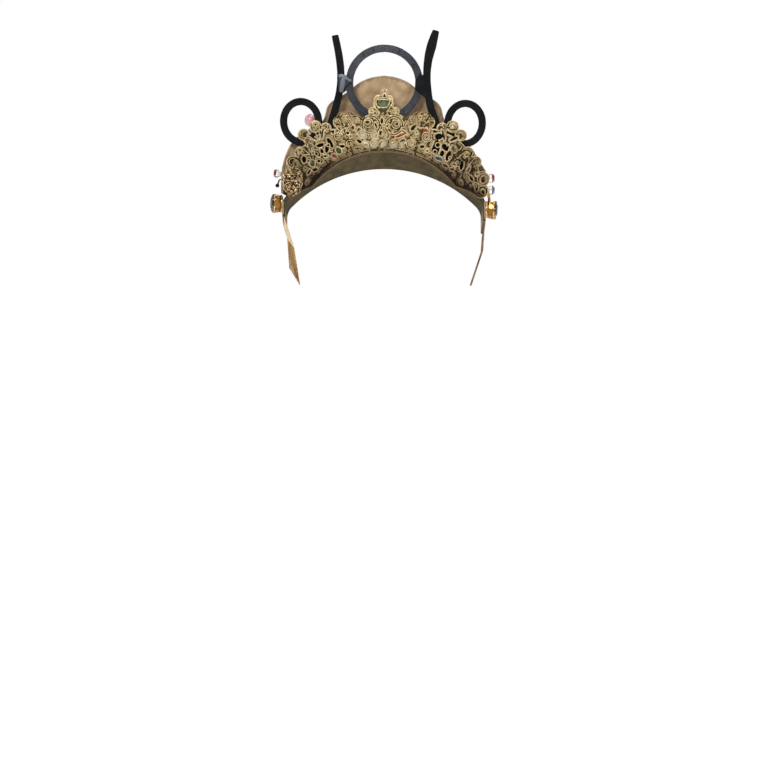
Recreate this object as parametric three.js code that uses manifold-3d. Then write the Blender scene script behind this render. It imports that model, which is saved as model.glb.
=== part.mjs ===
// A crystal crown: gold lace, ribbon-wound wire and a velvet plate with stones, on an arched head band.
// Millimetres, +Z up, +Y to the front as worn, +X to the right.
// The origin is the seat: the inside of the band's rear edge at the crest.
import * as THREE from "three";
import { mergeVertices } from "three/addons/utils/BufferGeometryUtils.js";
import Module from "manifold-3d";

const wasm = await Module();
wasm.setup();

// Driving dimensions
const fit = 0.35; // gap between pieces that touch
const bowRadius = 260; // plan radius of the whole crown, whose ends sweep back
const hub = { x: 0, z: -76 }; // centre that the lace and the plate fan out from

const band = {
  thickness: 3,
  ends: { left: -99.5, right: 103.5 }, // angles along the arch, where past 90 the band hangs straight
  legScale: 57.3, // length of straight band for a radian past 90
  taperAngle: 112, // where the band would be narrowest
  rear: { crest: 0, crownRadius: 104, crownAngle: 53.6, shoulderRadius: 8, depth: 0, endDepth: 4 },
  front: { crest: -14, crownRadius: 111, crownAngle: 46.1, shoulderRadius: 14.4, depth: 22, endDepth: 18 },
};
const lace = { near: -2.6, far: -fit, endAngle: 66 };
const wire = { near: 0, far: 2.6 };
const plate = { near: 9, far: 12, endAngle: 66, rows: 2, columnsPerSide: 40 };
const ring = { x: 0.3, z: 59.7, outerRadius: 33.4, innerRadius: 27.2 };
const loops = [
  { name: "loop_left", x: -71.7, z: 25.1, halfWidth: 18, halfHeight: 20.5 },
  { name: "loop_right", x: 70.1, z: 23.6, halfWidth: 17.8, halfHeight: 20.4 },
];
const loopWidth = 5.9;

// Finish of each material
const finishes = {
  velvetTan: { color: 0xb5946b, roughness: 0.95, metalness: 0 },
  velvetGrey: { color: 0x6b6058, roughness: 0.95, metalness: 0 },
  laceGold: { color: 0xb8955f, roughness: 0.55, metalness: 0.4 },
  satinGrey: { color: 0x50545f, roughness: 0.5, metalness: 0 },
  ribbonBlack: { color: 0x1b1c20, roughness: 0.85, metalness: 0 },
  gilt: { color: 0xc8923b, roughness: 0.3, metalness: 0.9 },
  champagne: { color: 0xe8dfb8, roughness: 0.1, metalness: 0.1 },
  red: { color: 0xa01e20, roughness: 0.1, metalness: 0.1 },
  green: { color: 0x3e6b3e, roughness: 0.1, metalness: 0.1 },
  blue: { color: 0x0e4e78, roughness: 0.1, metalness: 0.1 },
  smoke: { color: 0x1c1418, roughness: 0.1, metalness: 0.1 },
  pink: { color: 0xd59aa5, roughness: 0.3, metalness: 0 },
};

const crown = new THREE.Group();
const radians = THREE.MathUtils.degToRad;
const lerp = THREE.MathUtils.lerp;

function bow(x) {
  return (-x * x) / (2 * bowRadius);
}

function reach(x, z) {
  return Math.hypot(x - hub.x, z - hub.z);
}

// Value at an angle from a table of { angle, radius } rows, read between the rows.
function radiusAt(table, angle) {
  const turn = Math.abs(angle);
  const next = table.findIndex((row) => row.angle >= turn);
  if (next <= 0) return next === 0 ? table[0].radius : table[table.length - 1].radius;
  const low = table[next - 1];
  const high = table[next];
  return lerp(low.radius, high.radius, (turn - low.angle) / (high.angle - low.angle));
}

function addPiece(name, geometry, finish) {
  const mesh = new THREE.Mesh(geometry, new THREE.MeshStandardMaterial(finishes[finish]));
  mesh.name = name;
  crown.add(mesh);
}

// Closed geometry with shared vertices
function welded(geometry) {
  const bare = geometry.clone();
  bare.deleteAttribute("normal");
  bare.deleteAttribute("uv");
  return mergeVertices(bare, 1e-4);
}

function solid(geometry) {
  const bare = welded(geometry);
  return new wasm.Manifold(
    new wasm.Mesh({
      numProp: 3,
      vertProperties: new Float32Array(bare.attributes.position.array),
      triVerts: new Uint32Array(bare.index.array),
    }),
  );
}

function geometryOf(body) {
  const mesh = body.getMesh();
  return new THREE.BufferGeometry()
    .setAttribute("position", new THREE.BufferAttribute(new Float32Array(mesh.vertProperties), 3))
    .setIndex(new THREE.BufferAttribute(new Uint32Array(mesh.triVerts), 1));
}

function joined(geometries) {
  return geometries.map(solid).reduce((whole, piece) => whole.add(piece));
}

// Moves every vertex by a rule that turns (x, y, z) into a new point
function shaped(geometry, rule) {
  const place = geometry.attributes.position;
  for (let i = 0; i < place.count; i++) {
    const point = rule(place.getX(i), place.getY(i), place.getZ(i));
    place.setXYZ(i, point.x, point.y, point.z);
  }
  return geometry;
}

function bowed(geometry) {
  return shaped(geometry, (x, y, z) => new THREE.Vector3(x, y + bow(x), z));
}

// A flat outline in X and Z, given its thickness along Y
function slab(shape, near, far) {
  const geometry = new THREE.ExtrudeGeometry(shape, { depth: far - near, bevelEnabled: false });
  return geometry.rotateX(Math.PI / 2).translate(0, far, 0);
}

function disc(x, z, radius, near, far, sides = 18) {
  return new THREE.CylinderGeometry(radius, radius, far - near, sides).translate(x, (near + far) / 2, z);
}

// A point of the band: angle along the arch, across from rear 0 to front 1, height above the inner face
function bandPoint(angle, across, height) {
  const mixed = (key) => lerp(band.rear[key], band.front[key], across);
  const crownRadius = mixed("crownRadius");
  const shoulderRadius = mixed("shoulderRadius");
  const crownAngle = radians(mixed("crownAngle"));
  const turn = Math.abs(radians(angle));
  const bent = Math.min(turn, Math.PI / 2);
  const leg = (turn - bent) * band.legScale;
  const onCrown = turn <= crownAngle;
  const slide = onCrown ? 0 : crownRadius - shoulderRadius;
  const arm = (onCrown ? crownRadius : shoulderRadius) + height;
  const x = slide * Math.sin(crownAngle) + arm * Math.sin(bent);
  const z = mixed("crest") - crownRadius + slide * Math.cos(crownAngle) + arm * Math.cos(bent) - leg;
  const towardEnd = (turn / radians(band.taperAngle)) ** 2;
  const y = lerp(mixed("depth"), mixed("endDepth"), towardEnd);
  const sideX = Math.sign(angle) * x;
  return new THREE.Vector3(sideX, y + bow(x), z);
}

// How far from the hub the band's outer face lies in one direction
function bandReach(angle, across, height) {
  let low = 0;
  let high = band.taperAngle;
  for (let step = 0; step < 40; step++) {
    const middle = (low + high) / 2;
    const point = bandPoint(middle, across, height);
    const seen = Math.atan2(point.x - hub.x, point.z - hub.z);
    if (seen < radians(Math.abs(angle))) low = middle;
    else high = middle;
  }
  const point = bandPoint(low, across, height);
  return reach(point.x, point.z);
}

function hubPoint(angle, radius, y) {
  const turn = radians(angle);
  return new THREE.Vector3(hub.x + radius * Math.sin(turn), y, hub.z + radius * Math.cos(turn));
}

// Head band: a wall between two heights over its inner face, as wide as its edges or wider
function headBand(low, high, widen) {
  const geometry = new THREE.BoxGeometry(1, 1, 1, 52, 3, 1);
  return shaped(geometry, (x, y, z) => {
    const angle = lerp(band.ends.left, band.ends.right, x + 0.5);
    return bandPoint(angle, y * (1 + widen) + 0.5, lerp(low, high, z + 0.5));
  });
}
addPiece("head_band", headBand(0, band.thickness, 0), "velvetGrey");

// Backing plate: its rim by angle from the crest
const plateRim = [
  { angle: 0, radius: 143 },
  { angle: 4, radius: 142 },
  { angle: 8, radius: 139.5 },
  { angle: 12, radius: 134.5 },
  { angle: 15, radius: 131.4 },
  { angle: 17, radius: 130 },
  { angle: 19, radius: 129.2 },
  { angle: 21, radius: 128.4 },
  { angle: 23, radius: 125.5 },
  { angle: 25, radius: 119.5 },
  { angle: 27, radius: 115.5 },
  { angle: 34, radius: 115.5 },
  { angle: 40, radius: 116.5 },
  { angle: 45, radius: 115 },
  { angle: 50, radius: 111.5 },
  { angle: 55, radius: 107.5 },
  { angle: 60, radius: 102.5 },
  { angle: 66, radius: 97 },
];
const rightTrim = [
  { angle: 0, radius: 0 },
  { angle: 28, radius: 0 },
  { angle: 36, radius: 4.5 },
  { angle: 42, radius: 6 },
  { angle: 50, radius: 5.2 },
  { angle: 54, radius: 2.2 },
  { angle: 57, radius: 0 },
];
const plateSeat = { across: 0.4, height: band.thickness + fit };

// Radius of the rim, which is drawn in along the right side
function rimRadius(angle) {
  const trim = angle > 0 ? radiusAt(rightTrim, angle) : 0;
  return radiusAt(plateRim, angle) - trim;
}

function backingPlate() {
  const columns = 2 * plate.columnsPerSide;
  const geometry = new THREE.BoxGeometry(1, 1, 1, columns, 1, plate.rows);
  return shaped(geometry, (x, y, z) => {
    const angle = 2 * x * plate.endAngle;
    const foot = bandReach(angle, plateSeat.across, plateSeat.height);
    const radius = lerp(foot, rimRadius(angle), z + 0.5);
    return hubPoint(angle, radius, lerp(plate.near, plate.far, y + 0.5));
  });
}

// Stones set through the plate: place, girdle radius, stretch along its length, turn of that length, finish
const setStones = [
  { name: "crystal_centre", x: 0.2, z: 6.6, radius: 3.4, stretch: 1, turn: 0, finish: "champagne" },
  { name: "crystal_inner_left", x: -8, z: 6.6, radius: 3.4, stretch: 1, turn: 0, finish: "champagne" },
  { name: "crystal_inner_right", x: 8.4, z: 6.4, radius: 3.4, stretch: 1, turn: 0, finish: "champagne" },
  { name: "crystal_mid_left", x: -16.2, z: 6.4, radius: 3.4, stretch: 1, turn: 0, finish: "champagne" },
  { name: "crystal_mid_right", x: 16.6, z: 6.6, radius: 3.4, stretch: 1, turn: 0, finish: "champagne" },
  { name: "crystal_outer_left", x: -24.4, z: 6.2, radius: 3.4, stretch: 1, turn: 0, finish: "champagne" },
  { name: "crystal_outer_right", x: 24.8, z: 6, radius: 3.4, stretch: 1, turn: 0, finish: "champagne" },
  { name: "crystal_upper_left", x: -19.8, z: 15.6, radius: 4.2, stretch: 1, turn: 0, finish: "champagne" },
  { name: "crystal_upper_middle", x: -8.4, z: 15.2, radius: 3.6, stretch: 1, turn: 0, finish: "champagne" },
  { name: "crystal_upper_right", x: 0.6, z: 15.2, radius: 3.4, stretch: 1, turn: 0, finish: "champagne" },
  { name: "red_baguette", x: 14.2, z: 14.8, radius: 2, stretch: 2.4, turn: 24, finish: "red" },
  { name: "red_stone_left", x: -43.6, z: -5.4, radius: 2.6, stretch: 1.2, turn: -10, finish: "red" },
  { name: "red_stone_inner", x: 36, z: 18.6, radius: 3, stretch: 1, turn: 0, finish: "red" },
  { name: "red_stone_outer", x: 44, z: 16.8, radius: 3, stretch: 1, turn: 0, finish: "red" },
  { name: "red_stone_right", x: 53.6, z: -11.4, radius: 2.3, stretch: 1.15, turn: -35, finish: "red" },
  { name: "red_stone_low", x: 60.2, z: -14.8, radius: 2.4, stretch: 1.1, turn: -40, finish: "red" },
  { name: "blue_stone", x: 46.8, z: -6, radius: 2.9, stretch: 1.5, turn: -24, finish: "blue" },
  { name: "green_stone_inner", x: -39.4, z: 0.8, radius: 2.8, stretch: 1, turn: 0, finish: "green" },
  { name: "green_stone_left", x: -62.8, z: 4.6, radius: 3.2, stretch: 1.2, turn: 50, finish: "green" },
  { name: "green_stone_low", x: -62, z: -10.6, radius: 3.2, stretch: 1.1, turn: 40, finish: "green" },
  { name: "green_stone_end", x: -76.7, z: -12.1, radius: 2.6, stretch: 1, turn: 0, finish: "green" },
  { name: "green_stone_right", x: 61.4, z: 0.9, radius: 3.2, stretch: 1.1, turn: -50, finish: "green" },
];
const stoneCut = { sides: 8, culet: 4.6, girdle: 7.8, collar: 0.5, collarHeight: 0.8, rise: 2.2 };

// A stone in its gold cup, along Y, from the culet at the back to the table in front
function setStone(radius) {
  const seat = plate.far + fit;
  const profile = [
    [0, stoneCut.culet],
    [0.35 * radius, stoneCut.culet],
    [radius, stoneCut.girdle],
    [radius, seat],
    [radius + stoneCut.collar, seat],
    [radius + stoneCut.collar, seat + stoneCut.collarHeight],
    [0.62 * radius, seat + stoneCut.rise],
    [0, seat + stoneCut.rise],
  ];
  const points = profile.map(([r, y]) => new THREE.Vector2(r, y));
  return new THREE.LatheGeometry(points, stoneCut.sides);
}

// Stretches a shape that lies along Y and sets it at its place in the plate
function placed(geometry, stone) {
  return geometry
    .scale(stone.stretch, 1, 1)
    .rotateY(-radians(stone.turn))
    .translate(stone.x, 0, stone.z);
}

let plateBody = solid(backingPlate());
setStones.forEach((stone) => {
  const bore = disc(0, 0, stone.radius + fit, plate.near - 2, plate.far + 2, stoneCut.sides);
  plateBody = plateBody.subtract(solid(placed(bore, stone)));
  addPiece(stone.name, bowed(placed(setStone(stone.radius), stone)), stone.finish);
});
addPiece("backing_plate", bowed(geometryOf(plateBody)), "velvetTan");

// Lace: hem and outer radius of the ground, round lobes on it, and the gaps cut through it
const laceHem = [
  { angle: 0, radius: 76 },
  { angle: 54, radius: 76 },
  { angle: 66, radius: 88 },
];
const laceGround = [
  { angle: 0, radius: 98 },
  { angle: 14, radius: 100 },
  { angle: 26, radius: 105 },
  { angle: 36, radius: 107 },
  { angle: 46, radius: 105 },
  { angle: 58, radius: 99 },
  { angle: 66, radius: 91 },
];
const lobePairs = [
  { x: 10.3, z: 22.4, radius: 10 },
  { x: 9.4, z: 34.6, radius: 4 },
  { x: 24.5, z: 24, radius: 7 },
  { x: 30, z: 29, radius: 5 },
  { x: 35.8, z: 28.9, radius: 5 },
  { x: 38.5, z: 25, radius: 5.5 },
  { x: 50.5, z: 19.5, radius: 4.8 },
  { x: 59.5, z: 21, radius: 5.2 },
  { x: 72, z: -2, radius: 5.2 },
  { x: 79, z: -10, radius: 5 },
];
const lobeSingles = [
  { x: 66.5, z: 13.2, radius: 5 },
  { x: -69.4, z: 13.8, radius: 5 },
  { x: -65.2, z: 10.2, radius: 4.8 },
  { x: 0, z: 30, radius: 6 },
  { x: 0.6, z: 51.6, radius: 3.1 },
  { x: 84.5, z: -25, radius: 6.6 },
  { x: 84, z: -35, radius: 6.2 },
  { x: -80, z: -27, radius: 7.5 },
];
const finial = { x: -0.4, z: 40.9, halfWidth: 8.7, halfHeight: 8.7, opening: 5 };

// Gaps in the middle and to either side; the length of a gap turns up from the X axis
const gapsCentre = [
  { x: 0.6, z: 51.6, length: 2.2, width: 2.2, turn: 0 },
  { x: -7.8, z: 33.2, length: 2.4, width: 1.8, turn: 60 },
  { x: 4.8, z: 32.6, length: 2.6, width: 2.4, turn: 0 },
  { x: 9.8, z: 34.2, length: 1.8, width: 1.8, turn: 0 },
  { x: -10.9, z: 34.9, length: 1.8, width: 1.8, turn: 0 },
  { x: -1.9, z: 26.6, length: 5.4, width: 2.6, turn: 88 },
  { x: -14.7, z: 25.3, length: 3.4, width: 3, turn: 0 },
  { x: -7.1, z: 22.9, length: 4.6, width: 2, turn: -67 },
  { x: 3, z: 22.3, length: 2.8, width: 1.6, turn: 40 },
  { x: 11.2, z: 24.1, length: 3.2, width: 2.2, turn: 20 },
  { x: 5.1, z: 18, length: 5.2, width: 1.6, turn: -43 },
  { x: 17.4, z: 19.3, length: 4, width: 1.5, turn: -38 },
  { x: 14.3, z: 14, length: 9.6, width: 2.6, turn: 22 },
  { x: -19.3, z: 15.6, length: 10, width: 4.8, turn: -47 },
  { x: -8.3, z: 14, length: 6, width: 5.2, turn: -50 },
  { x: -2.5, z: 15.9, length: 5, width: 3.6, turn: -60 },
  { x: 2.6, z: 13, length: 5, width: 3.6, turn: 50 },
  { x: -21.5, z: 8.8, length: 5.4, width: 3.2, turn: -30 },
  { x: -14.1, z: 6.1, length: 5.6, width: 4.4, turn: -45 },
  { x: -7.6, z: 6.2, length: 5, width: 3.6, turn: -20 },
  { x: -1.3, z: 5.8, length: 5.4, width: 3.6, turn: 60 },
  { x: 7.5, z: 8.9, length: 3, width: 1.6, turn: 20 },
  { x: 8.8, z: 5.5, length: 6, width: 3.6, turn: 10 },
  { x: 16.1, z: 8.8, length: 5.4, width: 3.6, turn: 20 },
  { x: 23.4, z: 6.4, length: 4.4, width: 3.6, turn: 30 },
];
const gapsRight = [
  { x: 25.2, z: 21.1, length: 5.6, width: 2.6, turn: 40 },
  { x: 28.3, z: 16.2, length: 2, width: 1.8, turn: 0 },
  { x: 31.6, z: 29.4, length: 2.8, width: 2.2, turn: 90 },
  { x: 35.9, z: 18.6, length: 4.4, width: 2.6, turn: -10 },
  { x: 37.2, z: 12.2, length: 2, width: 2, turn: 0 },
  { x: 33.2, z: 4.3, length: 4.6, width: 2, turn: -15 },
  { x: 37.5, z: 0.3, length: 3.6, width: 2.8, turn: 0 },
  { x: 39.6, z: -3.6, length: 3, width: 1.8, turn: -20 },
  { x: 43.6, z: 17.2, length: 3.4, width: 3.4, turn: 0 },
  { x: 47.8, z: 16.5, length: 1.6, width: 1.6, turn: 0 },
  { x: 59.3, z: 21.1, length: 2, width: 2, turn: 0 },
  { x: 51.5, z: 13.2, length: 8.6, width: 2, turn: -78 },
  { x: 60.4, z: 10.3, length: 8.4, width: 2.6, turn: 28 },
  { x: 44.9, z: 3.5, length: 12.4, width: 6, turn: 62 },
  { x: 53.5, z: 3.5, length: 6.4, width: 4.6, turn: 0 },
  { x: 50.2, z: -2.4, length: 4.6, width: 4, turn: 60 },
  { x: 56.2, z: -4, length: 7.6, width: 5, turn: 75 },
  { x: 60.8, z: 0.7, length: 4.8, width: 3.8, turn: -30 },
  { x: 47.6, z: -6.8, length: 7.6, width: 3.2, turn: -25 },
  { x: 53.3, z: -12.9, length: 6, width: 2.8, turn: -30 },
  { x: 60.8, z: -12, length: 4, width: 2, turn: -15 },
  { x: 59.4, z: -16, length: 4.4, width: 3, turn: 0 },
  { x: 63.3, z: -10.2, length: 1.6, width: 1.6, turn: 0 },
  { x: 63.3, z: -14.8, length: 1.6, width: 1.6, turn: 0 },
  { x: 67.2, z: -12.5, length: 9, width: 4, turn: 82 },
  { x: 71.5, z: -3.9, length: 2.2, width: 2.2, turn: 0 },
  { x: 73, z: -16.7, length: 6, width: 1.8, turn: 58 },
  { x: 72.9, z: -21.4, length: 1.6, width: 1.6, turn: 0 },
  { x: 80.4, z: -21, length: 2, width: 2, turn: 0 },
  { x: 75.6, z: -24.5, length: 6, width: 2.8, turn: -60 },
  { x: 60, z: -20.2, length: 3.6, width: 2, turn: -50 },
  { x: 66.6, z: -28, length: 4.6, width: 2.4, turn: -60 },
  { x: 86, z: -25.6, length: 6.4, width: 5, turn: 70 },
  { x: 80, z: -32, length: 7.4, width: 3.4, turn: 95 },
  { x: 85.6, z: -36.4, length: 4.4, width: 3.2, turn: -60 },
];
const gapsLeft = [
  { x: -27.3, z: 21.1, length: 3.6, width: 2, turn: 50 },
  { x: -31.6, z: 29.4, length: 2.8, width: 2.2, turn: 90 },
  { x: -38.9, z: 19.8, length: 4.2, width: 1.8, turn: -50 },
  { x: -44.3, z: 17.4, length: 3, width: 2.4, turn: 0 },
  { x: -29.1, z: 13.1, length: 2, width: 2, turn: 0 },
  { x: -32.1, z: 16.2, length: 4, width: 1.6, turn: 20 },
  { x: -39.5, z: 12.8, length: 1.6, width: 1.6, turn: 0 },
  { x: -29.7, z: 6.4, length: 2.6, width: 2, turn: 0 },
  { x: -36.4, z: 4.3, length: 4.8, width: 2.4, turn: -15 },
  { x: -59.4, z: 22.7, length: 2.2, width: 2.2, turn: 0 },
  { x: -53.4, z: 14.5, length: 8.6, width: 2, turn: 82 },
  { x: -49.7, z: 18, length: 1.6, width: 1.6, turn: 0 },
  { x: -62, z: 12, length: 8.2, width: 2.2, turn: -36 },
  { x: -57.7, z: 7.4, length: 1.6, width: 1.6, turn: 0 },
  { x: -63.6, z: 3.4, length: 6.4, width: 4, turn: -58 },
  { x: -57.6, z: -2.2, length: 6.8, width: 4.2, turn: -57 },
  { x: -55.8, z: 5.2, length: 5.4, width: 2.2, turn: 20 },
  { x: -53.8, z: -0.8, length: 2, width: 2, turn: 0 },
  { x: -49.3, z: 2.4, length: 8.6, width: 4, turn: 80 },
  { x: -46.2, z: 6.6, length: 9.4, width: 2.6, turn: 115 },
  { x: -45.7, z: 0.4, length: 1.6, width: 1.6, turn: 0 },
  { x: -39.4, z: 0.4, length: 6.4, width: 4.6, turn: -50 },
  { x: -43.1, z: -4.3, length: 5, width: 3.6, turn: -10 },
  { x: -50.9, z: -4.7, length: 5, width: 2.6, turn: 0 },
  { x: -55.9, z: -8.6, length: 6.2, width: 4.4, turn: -20 },
  { x: -69.2, z: -7.8, length: 6.4, width: 4.4, turn: 100 },
  { x: -64.9, z: -6.8, length: 1.8, width: 1.8, turn: 0 },
  { x: -66.4, z: -11.4, length: 1.8, width: 1.8, turn: 0 },
  { x: -62, z: -10.9, length: 6, width: 5, turn: 90 },
  { x: -64.9, z: -18.3, length: 5.6, width: 2.4, turn: 60 },
  { x: -59.8, z: -16.4, length: 5, width: 3.4, turn: 20 },
  { x: -75, z: -4.1, length: 3.4, width: 2, turn: -30 },
  { x: -72.5, z: 0, length: 2.2, width: 2.2, turn: 0 },
  { x: -76.7, z: -12.1, length: 4.2, width: 3, turn: -60 },
  { x: -66.6, z: -28, length: 4.6, width: 2.4, turn: 60 },
];
const laceCuts = [20, 46];

function mirrored(row) {
  return [row, { ...row, x: -row.x }];
}

function laceGroundSlab() {
  const columns = 72;
  const geometry = new THREE.BoxGeometry(1, 1, 1, columns, 1, 1);
  return shaped(geometry, (x, y, z) => {
    const angle = 2 * x * lace.endAngle;
    const radius = lerp(radiusAt(laceHem, angle), radiusAt(laceGround, angle), z + 0.5);
    return hubPoint(angle, radius, lerp(lace.near, lace.far, y + 0.5));
  });
}

function gapCutter(gap) {
  return disc(0, 0, 0.5, lace.near - 2, lace.far + 2, 8)
    .scale(gap.length, 1, gap.width)
    .rotateY(-radians(gap.turn))
    .translate(gap.x, 0, gap.z);
}

// The slice of the lace between two angles, less half a gap at each side
function laceSlice(from, to) {
  const far = 200;
  const middle = radians((from + to) / 2);
  const corners = [from, to].map((angle) => hubPoint(angle, far, 0));
  const shape = new THREE.Shape([
    new THREE.Vector2(hub.x, hub.z),
    new THREE.Vector2(corners[0].x, corners[0].z),
    new THREE.Vector2(corners[1].x, corners[1].z),
  ]);
  const inset = fit / (2 * Math.sin(radians(to - from) / 2));
  return slab(shape, lace.near - 1, lace.far + 1)
    .translate(inset * Math.sin(middle), 0, inset * Math.cos(middle));
}

const lobes = [...lobePairs.flatMap(mirrored), ...lobeSingles];
const finialBody = disc(0, 0, 1, lace.near, lace.far, 20)
  .scale(finial.halfWidth, 1, finial.halfHeight)
  .translate(finial.x, 0, finial.z);
const finialOpening = disc(finial.x, finial.z, finial.opening, lace.near - 2, lace.far + 2, 12);
let laceBody = joined([
  laceGroundSlab(),
  finialBody,
  ...lobes.map((lobe) => disc(lobe.x, lobe.z, lobe.radius, lace.near, lace.far)),
]);
[finialOpening, ...[...gapsCentre, ...gapsRight, ...gapsLeft].map(gapCutter)].forEach((cutter) => {
  laceBody = laceBody.subtract(solid(cutter));
});

const laceSlices = [
  { name: "lace_end_left", from: -90, to: -laceCuts[1] },
  { name: "lace_left", from: -laceCuts[1], to: -laceCuts[0] },
  { name: "lace_centre", from: -laceCuts[0], to: laceCuts[0] },
  { name: "lace_right", from: laceCuts[0], to: laceCuts[1] },
  { name: "lace_end_right", from: laceCuts[1], to: 90 },
];
laceSlices.forEach((slice) => {
  const body = laceBody.intersect(solid(laceSlice(slice.from, slice.to)));
  addPiece(slice.name, bowed(geometryOf(body)), "laceGold");
});

// Stone in the top motif of the lace
function finialStone() {
  const girdle = finial.opening - fit;
  const profile = [
    [0, lace.near + 0.4],
    [0.5 * girdle, lace.near + 0.4],
    [girdle, lace.far],
    [girdle, 0],
    [girdle + 1.2, 0],
    [girdle + 1.2, 1],
    [0.62 * girdle, 2.6],
    [0, 2.6],
  ];
  const points = profile.map(([r, y]) => new THREE.Vector2(r, y));
  return new THREE.LatheGeometry(points, 12).translate(finial.x, 0, finial.z);
}
addPiece("finial_stone", bowed(finialStone()), "green");

// Ring and loops of ribbon-wound wire
function flatRing(halfWidth, halfHeight, width, sides) {
  const outline = disc(0, 0, 1, wire.near, wire.far, sides).scale(halfWidth, 1, halfHeight);
  const hollow = disc(0, 0, 1, wire.near - 1, wire.far + 1, sides)
    .scale(halfWidth - width, 1, halfHeight - width);
  return geometryOf(solid(outline).subtract(solid(hollow)));
}
const ringWidth = ring.outerRadius - ring.innerRadius;
const ringBody = flatRing(ring.outerRadius, ring.outerRadius, ringWidth, 44);
addPiece("centre_ring", bowed(ringBody.translate(ring.x, 0, ring.z)), "satinGrey");
loops.forEach((loop) => {
  const body = flatRing(loop.halfWidth, loop.halfHeight, loopWidth, 30);
  addPiece(loop.name, bowed(body.translate(loop.x, 0, loop.z)), "ribbonBlack");
});

// Uprights: strips along a curve, from the free tip to the foot behind the lace
const uprights = [
  {
    name: "upright_left",
    stations: [
      { x: -42.6, z: 101, width: 5.6 },
      { x: -39.2, z: 84, width: 6 },
      { x: -37.5, z: 68, width: 6 },
      { x: -38.5, z: 53, width: 5.8 },
      { x: -42.2, z: 37, width: 6 },
      { x: -47.2, z: 20, width: 6 },
      { x: -52.5, z: -4, width: 6 },
    ],
  },
  {
    name: "upright_right",
    stations: [
      { x: 45.2, z: 105, width: 5.4 },
      { x: 41.4, z: 92, width: 7.8 },
      { x: 38.2, z: 78, width: 6.8 },
      { x: 37.4, z: 62, width: 6 },
      { x: 40, z: 41, width: 6 },
      { x: 46, z: 21, width: 6 },
      { x: 51.5, z: -4, width: 6 },
    ],
  },
];
const stripSegments = 22;

function strip(stations) {
  const route = new THREE.SplineCurve(stations.map((row) => new THREE.Vector2(row.x, row.z)));
  const widths = new THREE.SplineCurve(stations.map((row, i) => new THREE.Vector2(i, row.width)));
  const geometry = new THREE.BoxGeometry(1, 1, 1, stripSegments, 1, 1);
  return shaped(geometry, (x, y, z) => {
    const along = 0.5 - x;
    const centre = route.getPoint(along);
    const ahead = route.getTangent(along);
    const side = z * widths.getPoint(along).y;
    return new THREE.Vector3(
      centre.x + ahead.y * side,
      lerp(wire.near, wire.far, y + 0.5),
      centre.y - ahead.x * side,
    );
  });
}
uprights.forEach((upright) => {
  addPiece(upright.name, bowed(strip(upright.stations)), "ribbonBlack");
});

// Windings that hold the ring to the uprights
const wraps = [
  { name: "ring_wrap_left", from: -41.6, to: -25.8, low: 54, high: 66, finish: "satinGrey" },
  { name: "ring_wrap_right", from: 26.2, to: 41.9, low: 53, high: 65, finish: "ribbonBlack" },
];
const wrapWall = 0.8;

function rectangle(left, near, right, far) {
  return [
    new THREE.Vector2(left, near),
    new THREE.Vector2(right, near),
    new THREE.Vector2(right, far),
    new THREE.Vector2(left, far),
  ];
}
wraps.forEach((wrap) => {
  const gap = 0.4;
  const outer = gap + wrapWall;
  const shape = new THREE.Shape(
    rectangle(wrap.from - wrapWall, wire.near - outer, wrap.to + wrapWall, wire.far + outer),
  );
  shape.holes.push(new THREE.Path(rectangle(wrap.from, wire.near - gap, wrap.to, wire.far + gap)));
  const sleeve = new THREE.ExtrudeGeometry(shape, { depth: wrap.high - wrap.low, bevelEnabled: false });
  addPiece(wrap.name, bowed(sleeve.translate(0, 0, wrap.low)), wrap.finish);
});

// Filigree ball: a hollow half shell, pierced all round, on the left end of the lace
const ball = { x: -79, z: -27, halfWidth: 9, halfHeight: 13, depth: 9, wall: 1.8, seat: lace.near - 0.5 };
const ballGaps = [
  { count: 1, tilt: 0 },
  { count: 5, tilt: 36 },
  { count: 8, tilt: 66 },
];
const ballGapRadius = 1.6;

function halfShell(inset) {
  const whole = new THREE.SphereGeometry(1, 14, 10);
  return solid(whole.scale(ball.halfWidth - inset, ball.depth - inset, ball.halfHeight - inset));
}

function filigreeBall() {
  const size = 3 * ball.halfHeight;
  const rearHalf = new THREE.BoxGeometry(size, size, size).translate(0, -size / 2, 0);
  let body = halfShell(0).intersect(solid(rearHalf)).subtract(halfShell(ball.wall));
  ballGaps.forEach((row) => {
    for (let i = 0; i < row.count; i++) {
      const cutter = new THREE.CylinderGeometry(ballGapRadius, ballGapRadius, size, 5)
        .translate(0, -size / 2, 0)
        .rotateX(radians(row.tilt))
        .rotateY(radians((360 * (i + 0.5)) / row.count));
      body = body.subtract(solid(cutter));
    }
  });
  return geometryOf(body).translate(ball.x, ball.seat, ball.z);
}
addPiece("filigree_ball", bowed(filigreeBall()), "gilt");

// Turns a shape made along +Y so that it points along a direction and starts at a point
function pointed(geometry, start, direction) {
  const turn = new THREE.Quaternion().setFromUnitVectors(new THREE.Vector3(0, 1, 0), direction.normalize());
  return geometry.applyQuaternion(turn).translate(start.x, start.y, start.z);
}

function turned(profile, sides) {
  return new THREE.LatheGeometry(profile.map(([r, y]) => new THREE.Vector2(r, y)), sides);
}

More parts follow.
